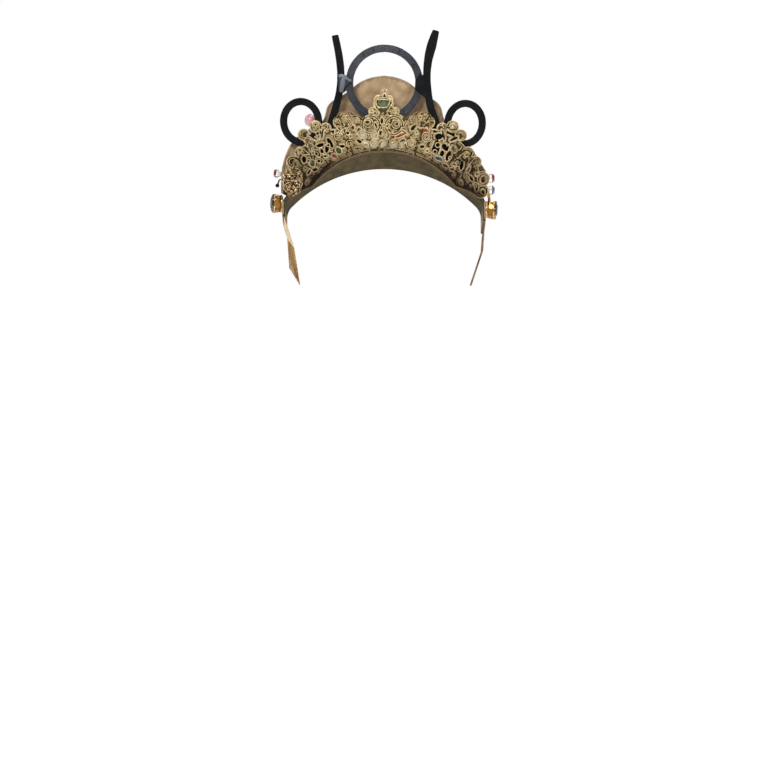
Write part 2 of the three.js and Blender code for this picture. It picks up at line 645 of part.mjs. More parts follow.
// Side studs: a barrel setting on a neck that meets the outside of the band, and a dark stone in its mouth
const studs = [
  { side: "left", sign: -1, z: -45.6, out: [-0.98, -0.19, 0.02], post: false },
  { side: "right", sign: 1, z: -50.6, out: [0.99, -0.13, -0.06], post: true },
];
const studSides = 14;
const studSeat = { across: 0.4, out: 0.5, neck: 5.5, sunk: 8, clear: 14, widen: 0.6 };
const settingProfile = [
  [0, -studSeat.sunk], [studSeat.neck, -studSeat.sunk], [studSeat.neck, 0],
  [7.6, 0], [8, 1.4], [7.4, 3.4], [8.1, 6.4], [8.25, 8.4], [6.9, 8.4], [6.6, 5.4], [0, 5.4],
];
const studStoneProfile = [[0, 5.75], [4.6, 5.75], [6.2, 7.4], [6.4, 8.6], [4.4, 10], [0, 10]];
const post = { radius: 1.2, length: 5.6, sunk: 0.8, out: 3, up: 7.2 };
const bandClearance = solid(headBand(-studSeat.clear, band.thickness + fit, studSeat.widen));

studs.forEach((stud) => {
  const outward = new THREE.Vector3(...stud.out).normalize();
  const seat = bandPoint(90 * stud.sign, studSeat.across, band.thickness);
  seat.x += studSeat.out * stud.sign;
  seat.z = stud.z;
  const barrel = pointed(turned(settingProfile, studSides), seat, outward.clone());
  let setting = solid(barrel).subtract(bandClearance);
  if (stud.post) {
    const root = seat.clone().addScaledVector(outward, post.out).add(new THREE.Vector3(0, 0, post.up));
    const rod = new THREE.CylinderGeometry(post.radius, post.radius, post.length, 8)
      .translate(0, post.length / 2 - post.sunk, 0);
    setting = setting.add(solid(pointed(rod, root, new THREE.Vector3(0, 0, 1))));
  }
  addPiece("stud_" + stud.side, geometryOf(setting), "gilt");
  const stone = pointed(turned(studStoneProfile, studSides), seat, outward.clone());
  addPiece("stud_stone_" + stud.side, stone, "smoke");
});

// Small crystals, a pin head and a bead that stand on the rim of the plate
const rimCrystal = [[0, 0], [1.5, 0], [2.2, 1.6], [3.7, 3], [4, 3.6], [4, 4.8], [2.4, 6.8], [0, 6.8]];
const rimPin = [[0, 0], [0.8, 0], [0.8, 3], [1.8, 4.2], [1.8, 5.2], [0.9, 6.4], [0, 6.4]];
const rimPieces = [
  { name: "side_crystal_left", angle: -57.5, profile: rimCrystal, finish: "red" },
  { name: "edge_pin_left", angle: -63, profile: rimPin, finish: "ribbonBlack" },
  { name: "side_crystal_right_upper", angle: 59.5, profile: rimCrystal, finish: "red" },
  { name: "side_crystal_right_lower", angle: 64.5, profile: rimCrystal, finish: "blue" },
];
const plateMiddle = (plate.near + plate.far) / 2;

function rimPoint(angle) {
  const point = hubPoint(angle, rimRadius(angle), plateMiddle);
  point.y += bow(point.x);
  return point;
}

function rimNormal(angle) {
  const step = 0.5;
  const along = rimPoint(angle + step).sub(rimPoint(angle - step));
  return new THREE.Vector3(-along.z, 0, along.x).normalize();
}

function rimSeat(angle, rise) {
  return rimPoint(angle).addScaledVector(rimNormal(angle), rise);
}
rimPieces.forEach((piece) => {
  const seat = rimSeat(piece.angle, fit);
  addPiece(piece.name, pointed(turned(piece.profile, 10), seat, rimNormal(piece.angle)), piece.finish);
});
const bead = { angle: -31.5, radius: 5.7 };
const beadSeat = rimSeat(bead.angle, bead.radius + fit);
addPiece(
  "pink_bead",
  new THREE.SphereGeometry(bead.radius, 14, 10).translate(beadSeat.x, beadSeat.y, beadSeat.z),
  "pink",
);

// Combs: a thin heading under each end of the band, and a row of teeth that slants inwards.
// The knee and the tips are given at mid depth, and shift by these shares of the depth from there.
const comb = { width: 36, teeth: 9, toothWidth: 1.5, tipInset: 0.45, sheet: 1.2, depth: 11, drop: 0.6 };
const combs = [
  {
    side: "left",
    top: -86.4,
    knee: { x: -81, z: -79.6, shiftX: -0.19, shiftZ: 0.3 },
    tip: { x: -77.5, z: -109.4, shiftX: -0.29, shiftZ: 0.45 },
  },
  {
    side: "right",
    top: 86.4,
    knee: { x: 85, z: -87, shiftX: 0.02, shiftZ: 0 },
    tip: { x: 75.2, z: -116.5, shiftX: 0.02, shiftZ: 0 },
  },
];

// Outline with the heading from 0 to 1 and the teeth from 1 to 2, scaled to length by the path
function combOutline() {
  const half = comb.width / 2;
  const pitch = (comb.width - comb.toothWidth) / (comb.teeth - 1);
  const shape = new THREE.Shape();
  shape.moveTo(-half, 0);
  for (let i = 1; i < comb.teeth; i++) {
    shape.lineTo(-half + i * pitch, 0);
  }
  shape.lineTo(half, 0);
  for (let i = comb.teeth - 1; i >= 0; i--) {
    const left = -half + i * pitch;
    const right = left + comb.toothWidth;
    shape.lineTo(right, 1);
    shape.lineTo(right - comb.tipInset, 2);
    shape.lineTo(left + comb.tipInset, 2);
    shape.lineTo(left, 1);
  }
  return shape;
}

// Height of the heading's top edge, just under the slanting end of the band
function headingTop(angle, y) {
  const rear = bandPoint(angle, 0, band.thickness);
  const front = bandPoint(angle, 1, band.thickness);
  const across = THREE.MathUtils.clamp((y - rear.y) / (front.y - rear.y), 0, 1);
  return lerp(rear.z, front.z, across) - comb.drop;
}

function combAlong(row) {
  const flat = new THREE.ExtrudeGeometry(combOutline(), { depth: comb.sheet, bevelEnabled: false });
  const depth = comb.depth + bow(row.top);
  const stop = (at, u) => new THREE.Vector2(at.x + at.shiftX * u, at.z + at.shiftZ * u);
  return shaped(flat, (u, s, n) => {
    const y = depth + u;
    const top = new THREE.Vector2(row.top, headingTop(band.ends[row.side], y));
    const knee = stop(row.knee, u);
    const centre = s <= 1 ? top.lerp(knee, s) : knee.lerp(stop(row.tip, u), s - 1);
    return new THREE.Vector3(centre.x + comb.sheet / 2 - n, y, centre.y);
  });
}
combs.forEach((row) => addPiece("comb_" + row.side, combAlong(row), "gilt"));

export default crown;
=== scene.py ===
import math
import random

import bmesh
import bpy
from mathutils import Matrix, Vector
from mathutils.bvhtree import BVHTree
from mathutils.kdtree import KDTree


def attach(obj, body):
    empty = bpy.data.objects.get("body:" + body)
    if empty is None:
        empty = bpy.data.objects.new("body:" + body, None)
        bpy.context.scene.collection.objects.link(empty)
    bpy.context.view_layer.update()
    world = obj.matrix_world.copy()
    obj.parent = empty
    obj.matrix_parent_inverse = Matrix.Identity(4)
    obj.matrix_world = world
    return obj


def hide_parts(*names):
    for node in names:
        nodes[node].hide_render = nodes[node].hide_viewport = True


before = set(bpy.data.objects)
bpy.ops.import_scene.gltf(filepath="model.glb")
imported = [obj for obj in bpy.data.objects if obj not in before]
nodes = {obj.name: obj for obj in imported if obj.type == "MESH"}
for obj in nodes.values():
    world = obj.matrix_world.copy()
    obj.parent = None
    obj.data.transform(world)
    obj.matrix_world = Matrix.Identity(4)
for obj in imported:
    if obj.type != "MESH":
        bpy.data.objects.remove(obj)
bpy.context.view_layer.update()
scene = bpy.context.scene
mm = 0.001
fan = {"bowRadius": 260, "hubZ": -76}  # plan sweep of the whole crown, and the centre its lace fans out from
print("frame loaded:", len(nodes), "nodes")


# shared helpers, lengths in millimetres until a point is placed

def bowAt(x):
    return -x * x / (2 * fan["bowRadius"])


def place(x, y, z):
    return Vector((x, y + bowAt(x), z)) * mm


def fanPoint(angle, radius, y):
    turn = math.radians(angle)
    return place(radius * math.sin(turn), y, fan["hubZ"] + radius * math.cos(turn))


def mix(low, high, share):
    return low + (high - low) * share


def spread(low, high, parts):
    return [mix(low, high, i / parts) for i in range(parts + 1)]


def within(low, value, high):
    return max(low, min(high, value))


def fanOf(point):  # angle in degrees and radius of a placed point
    x, z = point.x / mm, point.z / mm - fan["hubZ"]
    return math.degrees(math.atan2(x, z)), math.hypot(x, z)


def turned(u, w, turn):  # two lengths in the plane of the photo, turned by an angle
    spin = math.radians(turn)
    return u * math.cos(spin) - w * math.sin(spin), u * math.sin(spin) + w * math.cos(spin)


def curvePoint(a, b, c, d, t):  # on a smooth curve between b and c
    return b + 0.5 * t * (c - a + t * (2 * a - 5 * b + 4 * c - d + t * (3 * (b - c) + d - a)))


def linear(code):
    parts = [int(code[i:i + 2], 16) / 255 for i in (1, 3, 5)]
    return [p / 12.92 if p < 0.04045 else ((p + 0.055) / 1.055) ** 2.4 for p in parts] + [1]


def addObject(name, data):
    thing = bpy.data.objects.new(name, data)
    scene.collection.objects.link(thing)
    return thing


def addPiece(name, mesh, finish, slot, *replaced):
    piece = addObject(name, mesh)
    mesh.materials.clear()
    mesh.materials.append(finishes[finish])
    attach(piece, "root")
    if replaced:
        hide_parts(*replaced)
    return piece


def meshOf(name, bm, sharp=40):
    bmesh.ops.remove_doubles(bm, verts=bm.verts, dist=2e-6)
    mesh = bpy.data.meshes.new(name)
    bm.to_mesh(mesh)
    bm.free()
    mesh.shade_smooth()
    mesh.set_sharp_from_angle(angle=math.radians(sharp))
    return mesh


def meshPiece(name, bm, finish, slot, *replaced):
    return addPiece(name, meshOf(name, bm, 50), finish, slot, *replaced)


def evaluated(holder):  # the mesh that an object makes, and the object is removed
    bpy.context.view_layer.update()
    mesh = bpy.data.meshes.new_from_object(holder.evaluated_get(bpy.context.evaluated_depsgraph_get()))
    bpy.data.objects.remove(holder)
    bm = bmesh.new()
    bm.from_mesh(mesh)
    bpy.data.meshes.remove(mesh)
    return bm


def cordMesh(name, routes, thick, steps=2, sides=2):
    curve = bpy.data.curves.new(name, "CURVE")
    curve.dimensions = "3D"
    curve.bevel_depth = thick * mm
    curve.bevel_resolution = sides
    curve.resolution_u = steps
    curve.use_fill_caps = True
    for points, closed in routes:
        line = curve.splines.new("NURBS")
        line.points.add(len(points) - 1)
        for spot, point in zip(line.points, points):
            spot.co = (*point, 1)
        line.use_cyclic_u = closed
        line.use_endpoint_u = not closed
        line.order_u = min(4, len(points))
    bm = evaluated(addObject(name, curve))
    bpy.data.curves.remove(curve)
    bmesh.ops.remove_doubles(bm, verts=bm.verts, dist=1e-6)
    bmesh.ops.recalc_face_normals(bm, faces=bm.faces)
    return meshOf(name, bm, 60)


def cordPiece(name, routes, thick, steps, sides, finish, slot, *replaced):
    return addPiece(name, cordMesh(name, routes, thick, steps, sides), finish, slot, *replaced)


def ringRoute(x, y, z, radiusX, radiusZ, turn=0, count=10):
    points = []
    for i in range(count):
        a = 2 * math.pi * i / count
        u, w = turned(radiusX * math.cos(a), radiusZ * math.sin(a), turn)
        points.append(place(x + u, y, z + w))
    return points, True


def twisted(angles, strands, phase, spotAt):
    routes = []
    for strand in range(strands):
        points = []
        for i, angle in enumerate(angles):
            a = i * 0.9 + strand * phase
            points.append(spotAt(angle, math.cos(a), math.sin(a)))
        routes.append((points, False))
    return routes


def sweep(bm, profile, spots, closed=False):
    verts = [bm.verts.new(p) for p in profile]
    live = [bm.edges.new((verts[i - 1], verts[i])) for i in range(len(verts))]
    first = live
    bmesh.ops.transform(bm, matrix=spots[0], verts=verts)
    for last, spot in zip(spots, spots[1:]):
        made = bmesh.ops.extrude_edge_only(bm, edges=live)["geom"]
        moved = {g for g in made if isinstance(g, bmesh.types.BMVert)}
        bmesh.ops.transform(bm, matrix=spot @ last.inverted(), verts=list(moved))
        live = [g for g in made if isinstance(g, bmesh.types.BMEdge) and set(g.verts) <= moved]
    if closed:
        bmesh.ops.remove_doubles(bm, verts=list({v for e in first + live for v in e.verts}), dist=1e-6)
    else:
        bmesh.ops.holes_fill(bm, edges=first + live, sides=0)
    bmesh.ops.recalc_face_normals(bm, faces=bm.faces)


def roundedProfile(width, depth, corner, steps=3):
    points = []
    for i, (sx, sy) in enumerate(((1, 1), (-1, 1), (-1, -1), (1, -1))):
        for k in range(steps + 1):
            a = math.pi / 2 * (i + k / steps)
            x = sx * (width / 2 - corner) + corner * math.cos(a)
            y = sy * (depth / 2 - corner) + corner * math.sin(a)
            points.append(Vector((x, y, 0)))
    return points


def bowed(bm, way=1):  # a flat shape takes the plan sweep, or loses it
    for vert in bm.verts:
        vert.co.y += way * bowAt(vert.co.x / mm) * mm
    return bm


def wholeOf(bm):
    return bm.verts[:] + bm.edges[:] + bm.faces[:]


def thicken(bm, depth):
    bm.normal_update()
    bmesh.ops.solidify(bm, geom=bm.faces[:] + bm.edges[:] + bm.verts[:], thickness=depth * mm)
    bmesh.ops.recalc_face_normals(bm, faces=bm.faces)


def bored(bm, rows):  # rows of x, y, z, half length, half width, turn, depth and corners
    mesh = bpy.data.meshes.new("boredBase")
    bm.to_mesh(mesh)
    bm.free()
    base = addObject("boredBase", mesh)
    drill = bmesh.new()
    for x, y, z, halfLength, halfWidth, turn, depth, corners in rows:
        spot = Matrix.Translation(place(x, y, z)) @ Matrix.Rotation(-math.radians(turn), 4, "Y")
        size = Matrix.Diagonal((halfLength * mm, 1, halfWidth * mm, 1))
        bmesh.ops.create_cone(
            drill, cap_ends=True, segments=corners, radius1=1, radius2=1, depth=depth * mm,
            matrix=spot @ size @ Matrix.Rotation(math.pi / 2, 4, "X"))
    bmesh.ops.recalc_face_normals(drill, faces=drill.faces)
    tool = addObject("boredDrill", meshOf("boredDrill", drill))
    cut = base.modifiers.new("bores", "BOOLEAN")
    cut.operation = "DIFFERENCE"
    cut.solver = "EXACT"
    cut.use_self = True
    cut.object = tool
    result = evaluated(base)
    bpy.data.objects.remove(tool)
    return result


def copyOf(*names):
    bm = bmesh.new()
    for name in names:
        bm.from_mesh(nodes[name].data)
    bmesh.ops.remove_doubles(bm, verts=bm.verts, dist=1e-6)
    return bm


# finishes

scales = {  # of the noise and waves in each finish
    "pile": 1400, "tufts": 260, "velvet": 140, "cord": 240, "cells": 1150, "net": 170,
    "fuzz": 1100, "ribbon": 120, "dents": 900,
}


def newFinish(name):
    finish = bpy.data.materials.new(name)
    finish.use_nodes = True
    tree = finish.node_tree
    return finish, tree, tree.nodes["Principled BSDF"]


def fill(tree, node, values):  # links sockets, and sets constants on sockets or on the node
    for key, value in values.items():
        if isinstance(value, bpy.types.NodeSocket):
            tree.links.new(value, node.inputs[key])
        elif isinstance(key, int) or key in node.inputs:
            node.inputs[key].default_value = value
        else:
            setattr(node, key, value)
    return node


def addNode(tree, kind, values=None):
    return fill(tree, tree.nodes.new("ShaderNode" + kind), values or {})


def objectSpot(tree):
    return addNode(tree, "TexCoord").outputs["Object"]


def noiseOf(tree, scale, detail=3):
    noise = addNode(tree, "TexNoise", {"Scale": scale, "Detail": detail, "Vector": objectSpot(tree)})
    return noise.outputs["Fac"]


def rampOf(tree, source, stops):
    ramp = addNode(tree, "ValToRGB", {"Fac": source})
    cells = ramp.color_ramp.elements
    while len(cells) < len(stops):
        cells.new(0.5)
    for cell, (spot, code) in zip(cells, stops):
        cell.position = spot
        cell.color = linear(code)
    return ramp.outputs["Color"]


def bumpOn(tree, shader, height, strength, distance):
    bump = addNode(tree, "Bump", {"Strength": strength, "Distance": distance * mm, "Height": height})
    tree.links.new(bump.outputs["Normal"], shader.inputs["Normal"])


def mathOf(tree, operation, a, b=0.0):
    return addNode(tree, "Math", {"operation": operation, 0: a, 1: b}).outputs[0]


def addedHeight(tree, a, b, shareB):
    return mathOf(tree, "ADD", a, mathOf(tree, "MULTIPLY", b, shareB))


def attributeOf(tree, name):
    return addNode(tree, "Attribute", {"attribute_name": name}).outputs["Fac"]


def blended(tree, share, shade, code):
    return addNode(tree, "Mix", {"data_type": "RGBA", 0: share, 6: shade, 7: linear(code)}).outputs[2]


def velvetFinish(name, dark, light, paintedShading=None, sheen=0.15):
    finish, tree, shader = newFinish(name)
    shade = rampOf(tree, noiseOf(tree, scales["velvet"], 5), ((0.3, dark), (0.7, light)))
    # the rim attribute mixes in painted shading: painted shade on the plate under the lace and on the comb tape
    # under the band's end, painted light on the band's ends
    if paintedShading:
        shade = blended(tree, attributeOf(tree, "rim"), shade, paintedShading)
    fill(tree, shader, {
        "Base Color": shade, "Roughness": 0.92, "Sheen Weight": sheen, "Sheen Roughness": 0.45,
        "Specular IOR Level": 0.12})
    pile = addedHeight(tree, noiseOf(tree, scales["pile"], 4), noiseOf(tree, scales["tufts"], 2), 0.6)
    bumpOn(tree, shader, pile, 0.55, 0.5)
    return finish


def cordFinish(name, dark, light, twist, metal, rough, deep=None):
    finish, tree, shader = newFinish(name)
    wave = addNode(tree, "TexWave", {
        "Scale": twist, "Distortion": 1.5, "bands_direction": "DIAGONAL", "Vector": objectSpot(tree)})
    strands = wave.outputs["Fac"]
    tone = addedHeight(tree, noiseOf(tree, scales["cord"], 4), strands, 0.25)
    shade = rampOf(tree, tone, ((0.35, dark), (0.8, light)))
    # deep is the colour of a painted shade, mixed in by the shade attribute
    if deep:
        shade = blended(tree, attributeOf(tree, "shade"), shade, deep)
    fill(tree, shader, {"Base Color": shade, "Metallic": metal, "Roughness": rough})
    bumpOn(tree, shader, strands, 0.6, 0.25)
    return finish


def netFinish(name, hole, dark, light, deep):
    finish, tree, shader = newFinish(name)
    cells = addNode(tree, "TexVoronoi", {
        "feature": "DISTANCE_TO_EDGE", "Scale": scales["cells"], "Vector": objectSpot(tree)})
    threads = cells.outputs["Distance"]
    tone = rampOf(tree, noiseOf(tree, scales["net"], 4), ((0.3, dark), (0.72, light)))
    gap = rampOf(tree, threads, ((0.1, "#000000"), (0.34, "#ffffff")))
    # hole, dark and light paint the net darker than its own brown: a painted shade between the cords and in its
    # openings. deep is a further painted shade, mixed in by the shade attribute
    shade = blended(tree, attributeOf(tree, "shade"), blended(tree, gap, tone, hole), deep)
    fill(tree, shader, {"Base Color": shade, "Roughness": 0.8, "Specular IOR Level": 0.08})
    bumpOn(tree, shader, threads, -0.8, 0.5)
    return finish


def ribbonFinish(name, dark, light, ribs, rough, sheen, shine):
    finish, tree, shader = newFinish(name)
    rib = mathOf(tree, "SINE", mathOf(tree, "MULTIPLY", attributeOf(tree, "across"), ribs * 2 * math.pi))
    fill(tree, shader, {
        "Base Color": rampOf(tree, noiseOf(tree, scales["ribbon"], 4), ((0.3, dark), (0.75, light))),
        "Roughness": rough, "Sheen Weight": sheen, "Sheen Roughness": 0.4, "Specular IOR Level": shine})
    bumpOn(tree, shader, addedHeight(tree, rib, noiseOf(tree, scales["fuzz"], 3), 1.4), 0.5, 0.22)
    return finish


def metalFinish(name, dark, light, rough, grain=210, dents=0.12):
    finish, tree, shader = newFinish(name)
    worn = addNode(tree, "MapRange", {
        "To Min": rough - 0.1, "To Max": rough + 0.15, "Value": noiseOf(tree, 2 * grain, 4)})
    fill(tree, shader, {
        "Base Color": rampOf(tree, noiseOf(tree, grain, 5), ((0.3, dark), (0.7, light))),
        "Metallic": 1.0, "Roughness": worn.outputs["Result"]})
    bumpOn(tree, shader, noiseOf(tree, scales["dents"], 3), dents, 0.1)
    return finish


def stoneFinish(name, dark, light, clear, rough=0.06, glow=0.12):
    finish, tree, shader = newFinish(name)
    shade = rampOf(tree, attributeOf(tree, "facetToneAndShading"), ((0.0, dark), (1.0, light)))
    fill(tree, shader, {  # the glow is a painted light, standing in for light that comes through the stone from its face
        "Base Color": shade, "Emission Color": shade, "Emission Strength": glow, "Roughness": rough,
        "IOR": 1.55, "Transmission Weight": clear, "Coat Weight": 0.6, "Coat Roughness": 0.03})
    return finish


finishes = {}
finishRows = {
    velvetFinish: {
        # where a velvet has a third colour, it is its painted shading, mixed in by the rim attribute
        "velvetTan": ("#947a57", "#b59b7d", "#38220f"),
        "velvetGrey": ("#38301f", "#50462f", "#a08d74", 0.04),
        "velvetRim": ("#7d6950", "#a08c6e"),
        "combTape": ("#b39a70", "#d8c6a0", "#6e5c48"),
    },
    netFinish: {
        # the net's own brown, painted darker as a shade between the cords, and a deeper painted shade last
        "laceNet": ("#150d05", "#33240f", "#5c4523", "#1a1007"),
    },
    cordFinish: {
        # the last colour of a lace cord or the hem is its painted shade towards the hem and the ends
        "laceCord": ("#b2955f", "#f4e0b0", 900, 0.15, 0.4, "#5a4122"),
        "laceFine": ("#ac8f5a", "#eed9a8", 1100, 0.15, 0.42, "#3f2a13"),
        "hemCord": ("#574529", "#7c673f", 700, 0.0, 0.8, "#2c1e0e"),
        "bandThread": ("#463d31", "#62564a", 1200, 0.0, 0.8),
        "stitchThread": ("#7a6548", "#a08a68", 1200, 0.0, 0.8),
        "filigreeCore": ("#1c0f05", "#3a220e", 500, 0.0, 0.9),
    },
    ribbonFinish: {
        "satinGrey": ("#1e2128", "#31353f", 9, 0.42, 0.05, 0.35),
        "satinKnot": ("#4b505c", "#7b808c", 7, 0.3, 0.1, 0.5),
        "ribbonBlack": ("#0f1012", "#1b1c1f", 6, 0.8, 0.02, 0.06),
    },
    metalFinish: {
        "giltMetal": ("#946c38", "#d2a765", 0.24),
        "filigreeGold": ("#84643a", "#ead0a0", 0.24),
        "combMetal": ("#8a6436", "#cba46c", 0.2, 40, 0.03),
        # two copies of one gilt: a painted shade for the left stud, a painted light for the right
        "giltDeep": ("#54391a", "#8e6735", 0.24, 60, 0.03),
        "giltBright": ("#86602c", "#d9a560", 0.24, 60, 0.03),
    },
    stoneFinish: {
        # each stone glows with a painted light: its fifth value, or 0.12 where that is left out
        "stoneChampagne": ("#a8945a", "#fffdee", 0.2, 0.06, 0.34),
        "stoneRed": ("#b0262c", "#ee7272", 0.3, 0.06, 0.2),
        "stoneGreen": ("#364a30", "#8da27e", 0.4),
        "stoneBlue": ("#0b4264", "#2c86b4", 0.3, 0.06, 0.2),
        "stoneSmoke": ("#120d10", "#3a2c30", 0.1, 0.06, 0),
        "stoneDusk": ("#27365a", "#7080ab", 0.4),
        "stoneWine": ("#3d0a0e", "#9a2a30", 0.4),
        "stoneClear": ("#e4e2e2", "#ffffff", 0.75),
        "beadPink": ("#c98b93", "#e6bcbf", 0.15, 0.22, 0.05),
    },
}
for makeFinish, rows in finishRows.items():
    for name, row in rows.items():
        finishes[name] = makeFinish(name, *row)
print("finishes made")


# gold lace: a pierced net ground, cords along every edge, petals, rings, fine curls and a hem

lace = {
    "nodes": ("lace_end_left", "lace_left", "lace_centre", "lace_right", "lace_end_right"),
    "rear": -2.6, "middle": -1.5, "bore": 9, "grid": 4, "endAngle": 66,
    "cuts": (20, 46), "cutReach": 0.3,  # angles of the joins, and how near to one counts as on it
    "longest": 6.5, "sliver": 0.01, "spacing": 0.45,  # edges that count as a rim
    "cord": 0.36, "strand": 0.25, "fine": 0.21,  # radii of the threads
    "edge": 0.38, "offset": 1.3, "step": 1.1, "strands": 7,  # rows of thread in from each edge
    "curlPitch": 2.6, "softPitch": 1.8, "curlRadius": (0.43, 0.53), "curlClear": 0.6,
    "jitter": 0.15, "rise": 0.86, "soft": (17, 43, 24),  # the soft part, by x and from a height
    "hem": (76.4, 54, 1.0),  # radius, and its rise past an angle
    "hemCord": (0.62, 0.75, 1.1),  # radius of a strand, its swing up and across
    "cordFrom": 1.6, "strandFrom": 1.9, "gapFrom": 5,  # heights above the hem
    "shadeRise": 9, "shadeTurn": 24, "shadeLow": 0.2,
}
lacePetals = [  # head x and z, head radius, tail x and z
    (-59.4, 22.4, 3.2, -55.8, 8.6), (-51.2, 21.4, 2.5, -54.8, 9.4), (-69.8, 14.4, 3.2, -59.2, 8.6),
    (-72.4, -0.2, 2.9, -63.8, -3.8), (-79, -10, 3, -71, -14), (59.4, 20.8, 3.2, 55, 9),
    (49, 19.6, 2.7, 53, 8.6), (66.2, 12.6, 3.2, 56.8, 7), (71.4, -3.8, 2.9, 63.4, -7.2),
    (79.4, -10.4, 3.2, 70.4, -17),
]
laceRings = [  # x, z, radius of round cords
    (-11.4, 23, 8.6), (-11.4, 23, 6.8), (8.6, 22.4, 8.6), (8.6, 22.4, 6.8), (-13.6, 24.6, 4),
    (10.4, 23.6, 3.6), (37.2, 12.2, 4.2), (37.2, 12.2, 2.6), (-39.5, 12.8, 3.4), (59.3, 21.1, 2.2),
    (-59.4, 22.7, 2.4), (71.5, -3.9, 2.3), (-72.5, 0, 2.3), (86, -25.6, 5.4), (85, -35.6, 4.6),
    (80.4, -21, 2.2), (-29.7, 6.6, 3), (23.4, 6.4, 4), (-63.7, 7.6, 5.2), (62.2, 5, 5.4),
]
laceLoops = [  # x, z, radius of small eyelets that cross the open gaps
    (44.2, -0.6, 1.9), (46.6, 5.2, 2.3), (55.4, 5.2, 1.1), (57.4, -6.2, 1.5), (63.3, -10.2, 1.5),
    (63.3, -14.8, 1.6), (-45.7, 0.4, 1.5), (-48.2, 5, 1.5), (-58.8, -2.8, 1.9), (-64.9, -6.8, 1.5),
    (-66.4, -11.4, 1.6), (-61.6, 1.8, 1.3), (-50.9, -4.2, 1.7), (37.6, 0.2, 1.3), (78.6, -31, 1.5),
    (-56.4, -8.8, 1.7),
]
laceHoles = [  # x, z, half length, half width, turn of small gaps between the cords
    (-75.8, -20.3, 2.1, 1.4, 36), (-68.2, -15.4, 1.3, 0.8, 72), (-64.1, 1.9, 3.2, 0.8, -65),
    (-63.4, 13.4, 2.5, 1.2, -10), (-61.4, -2, 1.3, 0.8, 72), (-64.8, 20.7, 1.7, 0.9, 82),
    (-58.9, 9.8, 1.5, 0.7, -72), (-55.3, 4.9, 3.6, 1.9, 20), (-53.8, -0.1, 2.4, 1.5, -62),
    (-53.4, 15.6, 4.6, 1, 78), (-46.7, 7.1, 5, 2.1, -58), (-44.3, 16.4, 1.6, 1.2, -70),
    (-38.3, 19.1, 2, 0.7, -50), (-36.3, 4.2, 2.3, 1.5, 2), (-31.3, 15.4, 1.5, 0.9, 37),
    (-27, 20.4, 1.9, 1.3, -75), (-14.3, 25.6, 1.7, 1.3, -5), (-6.9, 22.2, 2.4, 0.9, -71),
    (-1.7, 26.6, 2.5, 1.3, 90), (3, 22.2, 1.4, 0.7, 58), (4.7, 33.1, 1.7, 1.3, -46),
    (11.3, 23.6, 1.6, 1, 90), (17.6, 17, 3.3, 0.8, -40), (25.7, 20.6, 3.5, 1.5, 48),
    (33.1, 4, 2.3, 1.5, 7), (36.7, 17.4, 3, 0.9, 2), (45.5, 3.4, 6.8, 3.3, 84), (47.6, 12.7, 3.6, 3, 0),
    (50.4, -2.2, 2.9, 2.1, 76), (51.5, 14, 4.6, 1.2, -76), (53, 3.1, 4, 2.6, -53),
    (55.8, -4.3, 4.9, 2.3, 68), (59.8, 2.2, 2.2, 1.7, 68), (60.8, 10.4, 3.8, 1.4, 19),
    (86.2, -25.8, 2.6, 2, -74), (80, -35, 1.4, 0.8, 30), (73, -17, 2.2, 0.9, 55),
    (78.4, -29.5, 1.5, 0.9, 60), (67.4, -14, 1.8, 1.2, 60),
]
stoneGaps = [  # x, z, half length, half width, turn of the cornered gaps over the champagne stones
    (-1.4, 6.7, 3.7, 2.8, 20), (-9.2, 6.2, 3.2, 2.6, -62), (8.6, 5.8, 3.6, 2.5, 12),
    (-15.6, 6.3, 3.6, 2.5, -55), (-21.8, 8.8, 2.7, 1.7, -40), (16.2, 8.2, 2.7, 2.3, 15),
    (15.2, 4.6, 2.2, 1.3, -10), (24.2, 7, 2.2, 1.5, 70), (-19.9, 15.9, 5.8, 3.3, -56),
    (-8, 14.4, 4.2, 2.7, -62), (-2.6, 15.4, 2.4, 1.7, 30), (3.1, 14, 2.4, 1.9, 60),
]
finial = {"x": -0.4, "z": 40.9, "girdle": 4.65, "cord": 0.45, "cordY": -2.85}
laceMesh = {
    "corners": ((-35.2, 35.7), (-42.2, 10.4), (-24.8, 20.9)), "pitch": 1.9, "thread": 0.22,
    "start": -46, "span": (10, 36), "lean": 0.7,
}


def cutNear(point):  # the join of the lace that a point lies on, as an angle
    angle, radius = fanOf(point)
    for cut in lace["cuts"]:
        if math.radians(abs(abs(angle) - cut)) * radius < lace["cutReach"]:
            return math.copysign(cut, angle)
    return None


def onCut(edge):  # edges along the joins have no cord
    a, b = (cutNear(vert.co) for vert in edge.verts)
    return a is not None and a == b


def rimChains(bm, way):
    links = {}
    for edge in bm.edges:
        if len(edge.link_faces) != 2 or onCut(edge):
            continue
        thin = min(face.calc_area() / face.calc_perimeter() for face in edge.link_faces)
        if edge.calc_length() > lace["longest"] * mm or thin < lace["sliver"] * mm:
            continue  # left over by the cut, not a rim
        facing = [face.normal.y * way for face in edge.link_faces]
        if max(facing) > 0.8 and min(facing) < 0.5:
            a, b = edge.verts
            links.setdefault(a, []).append(b)
            links.setdefault(b, []).append(a)
    chains = []
    starts = sorted(links, key=lambda vert: (len(links[vert]) != 1, vert.index))
    for start in starts:
        while links[start]:
            chain = [start]
            while links[chain[-1]]:
                following = links[chain[-1]].pop()
                links[following].remove(chain[-1])
                chain.append(following)
            closed = chain[0] is chain[-1]
            points = [vert.co.copy() for vert in (chain[:-1] if closed else chain)]
            spaced = [points[0]]
            for point in points[1:]:
                if (point - spaced[-1]).length > lace["spacing"] * mm:
                    spaced.append(point)
            if len(spaced) > 3:
                chains.append((smoothRoute(spaced, closed), closed))
    return chains


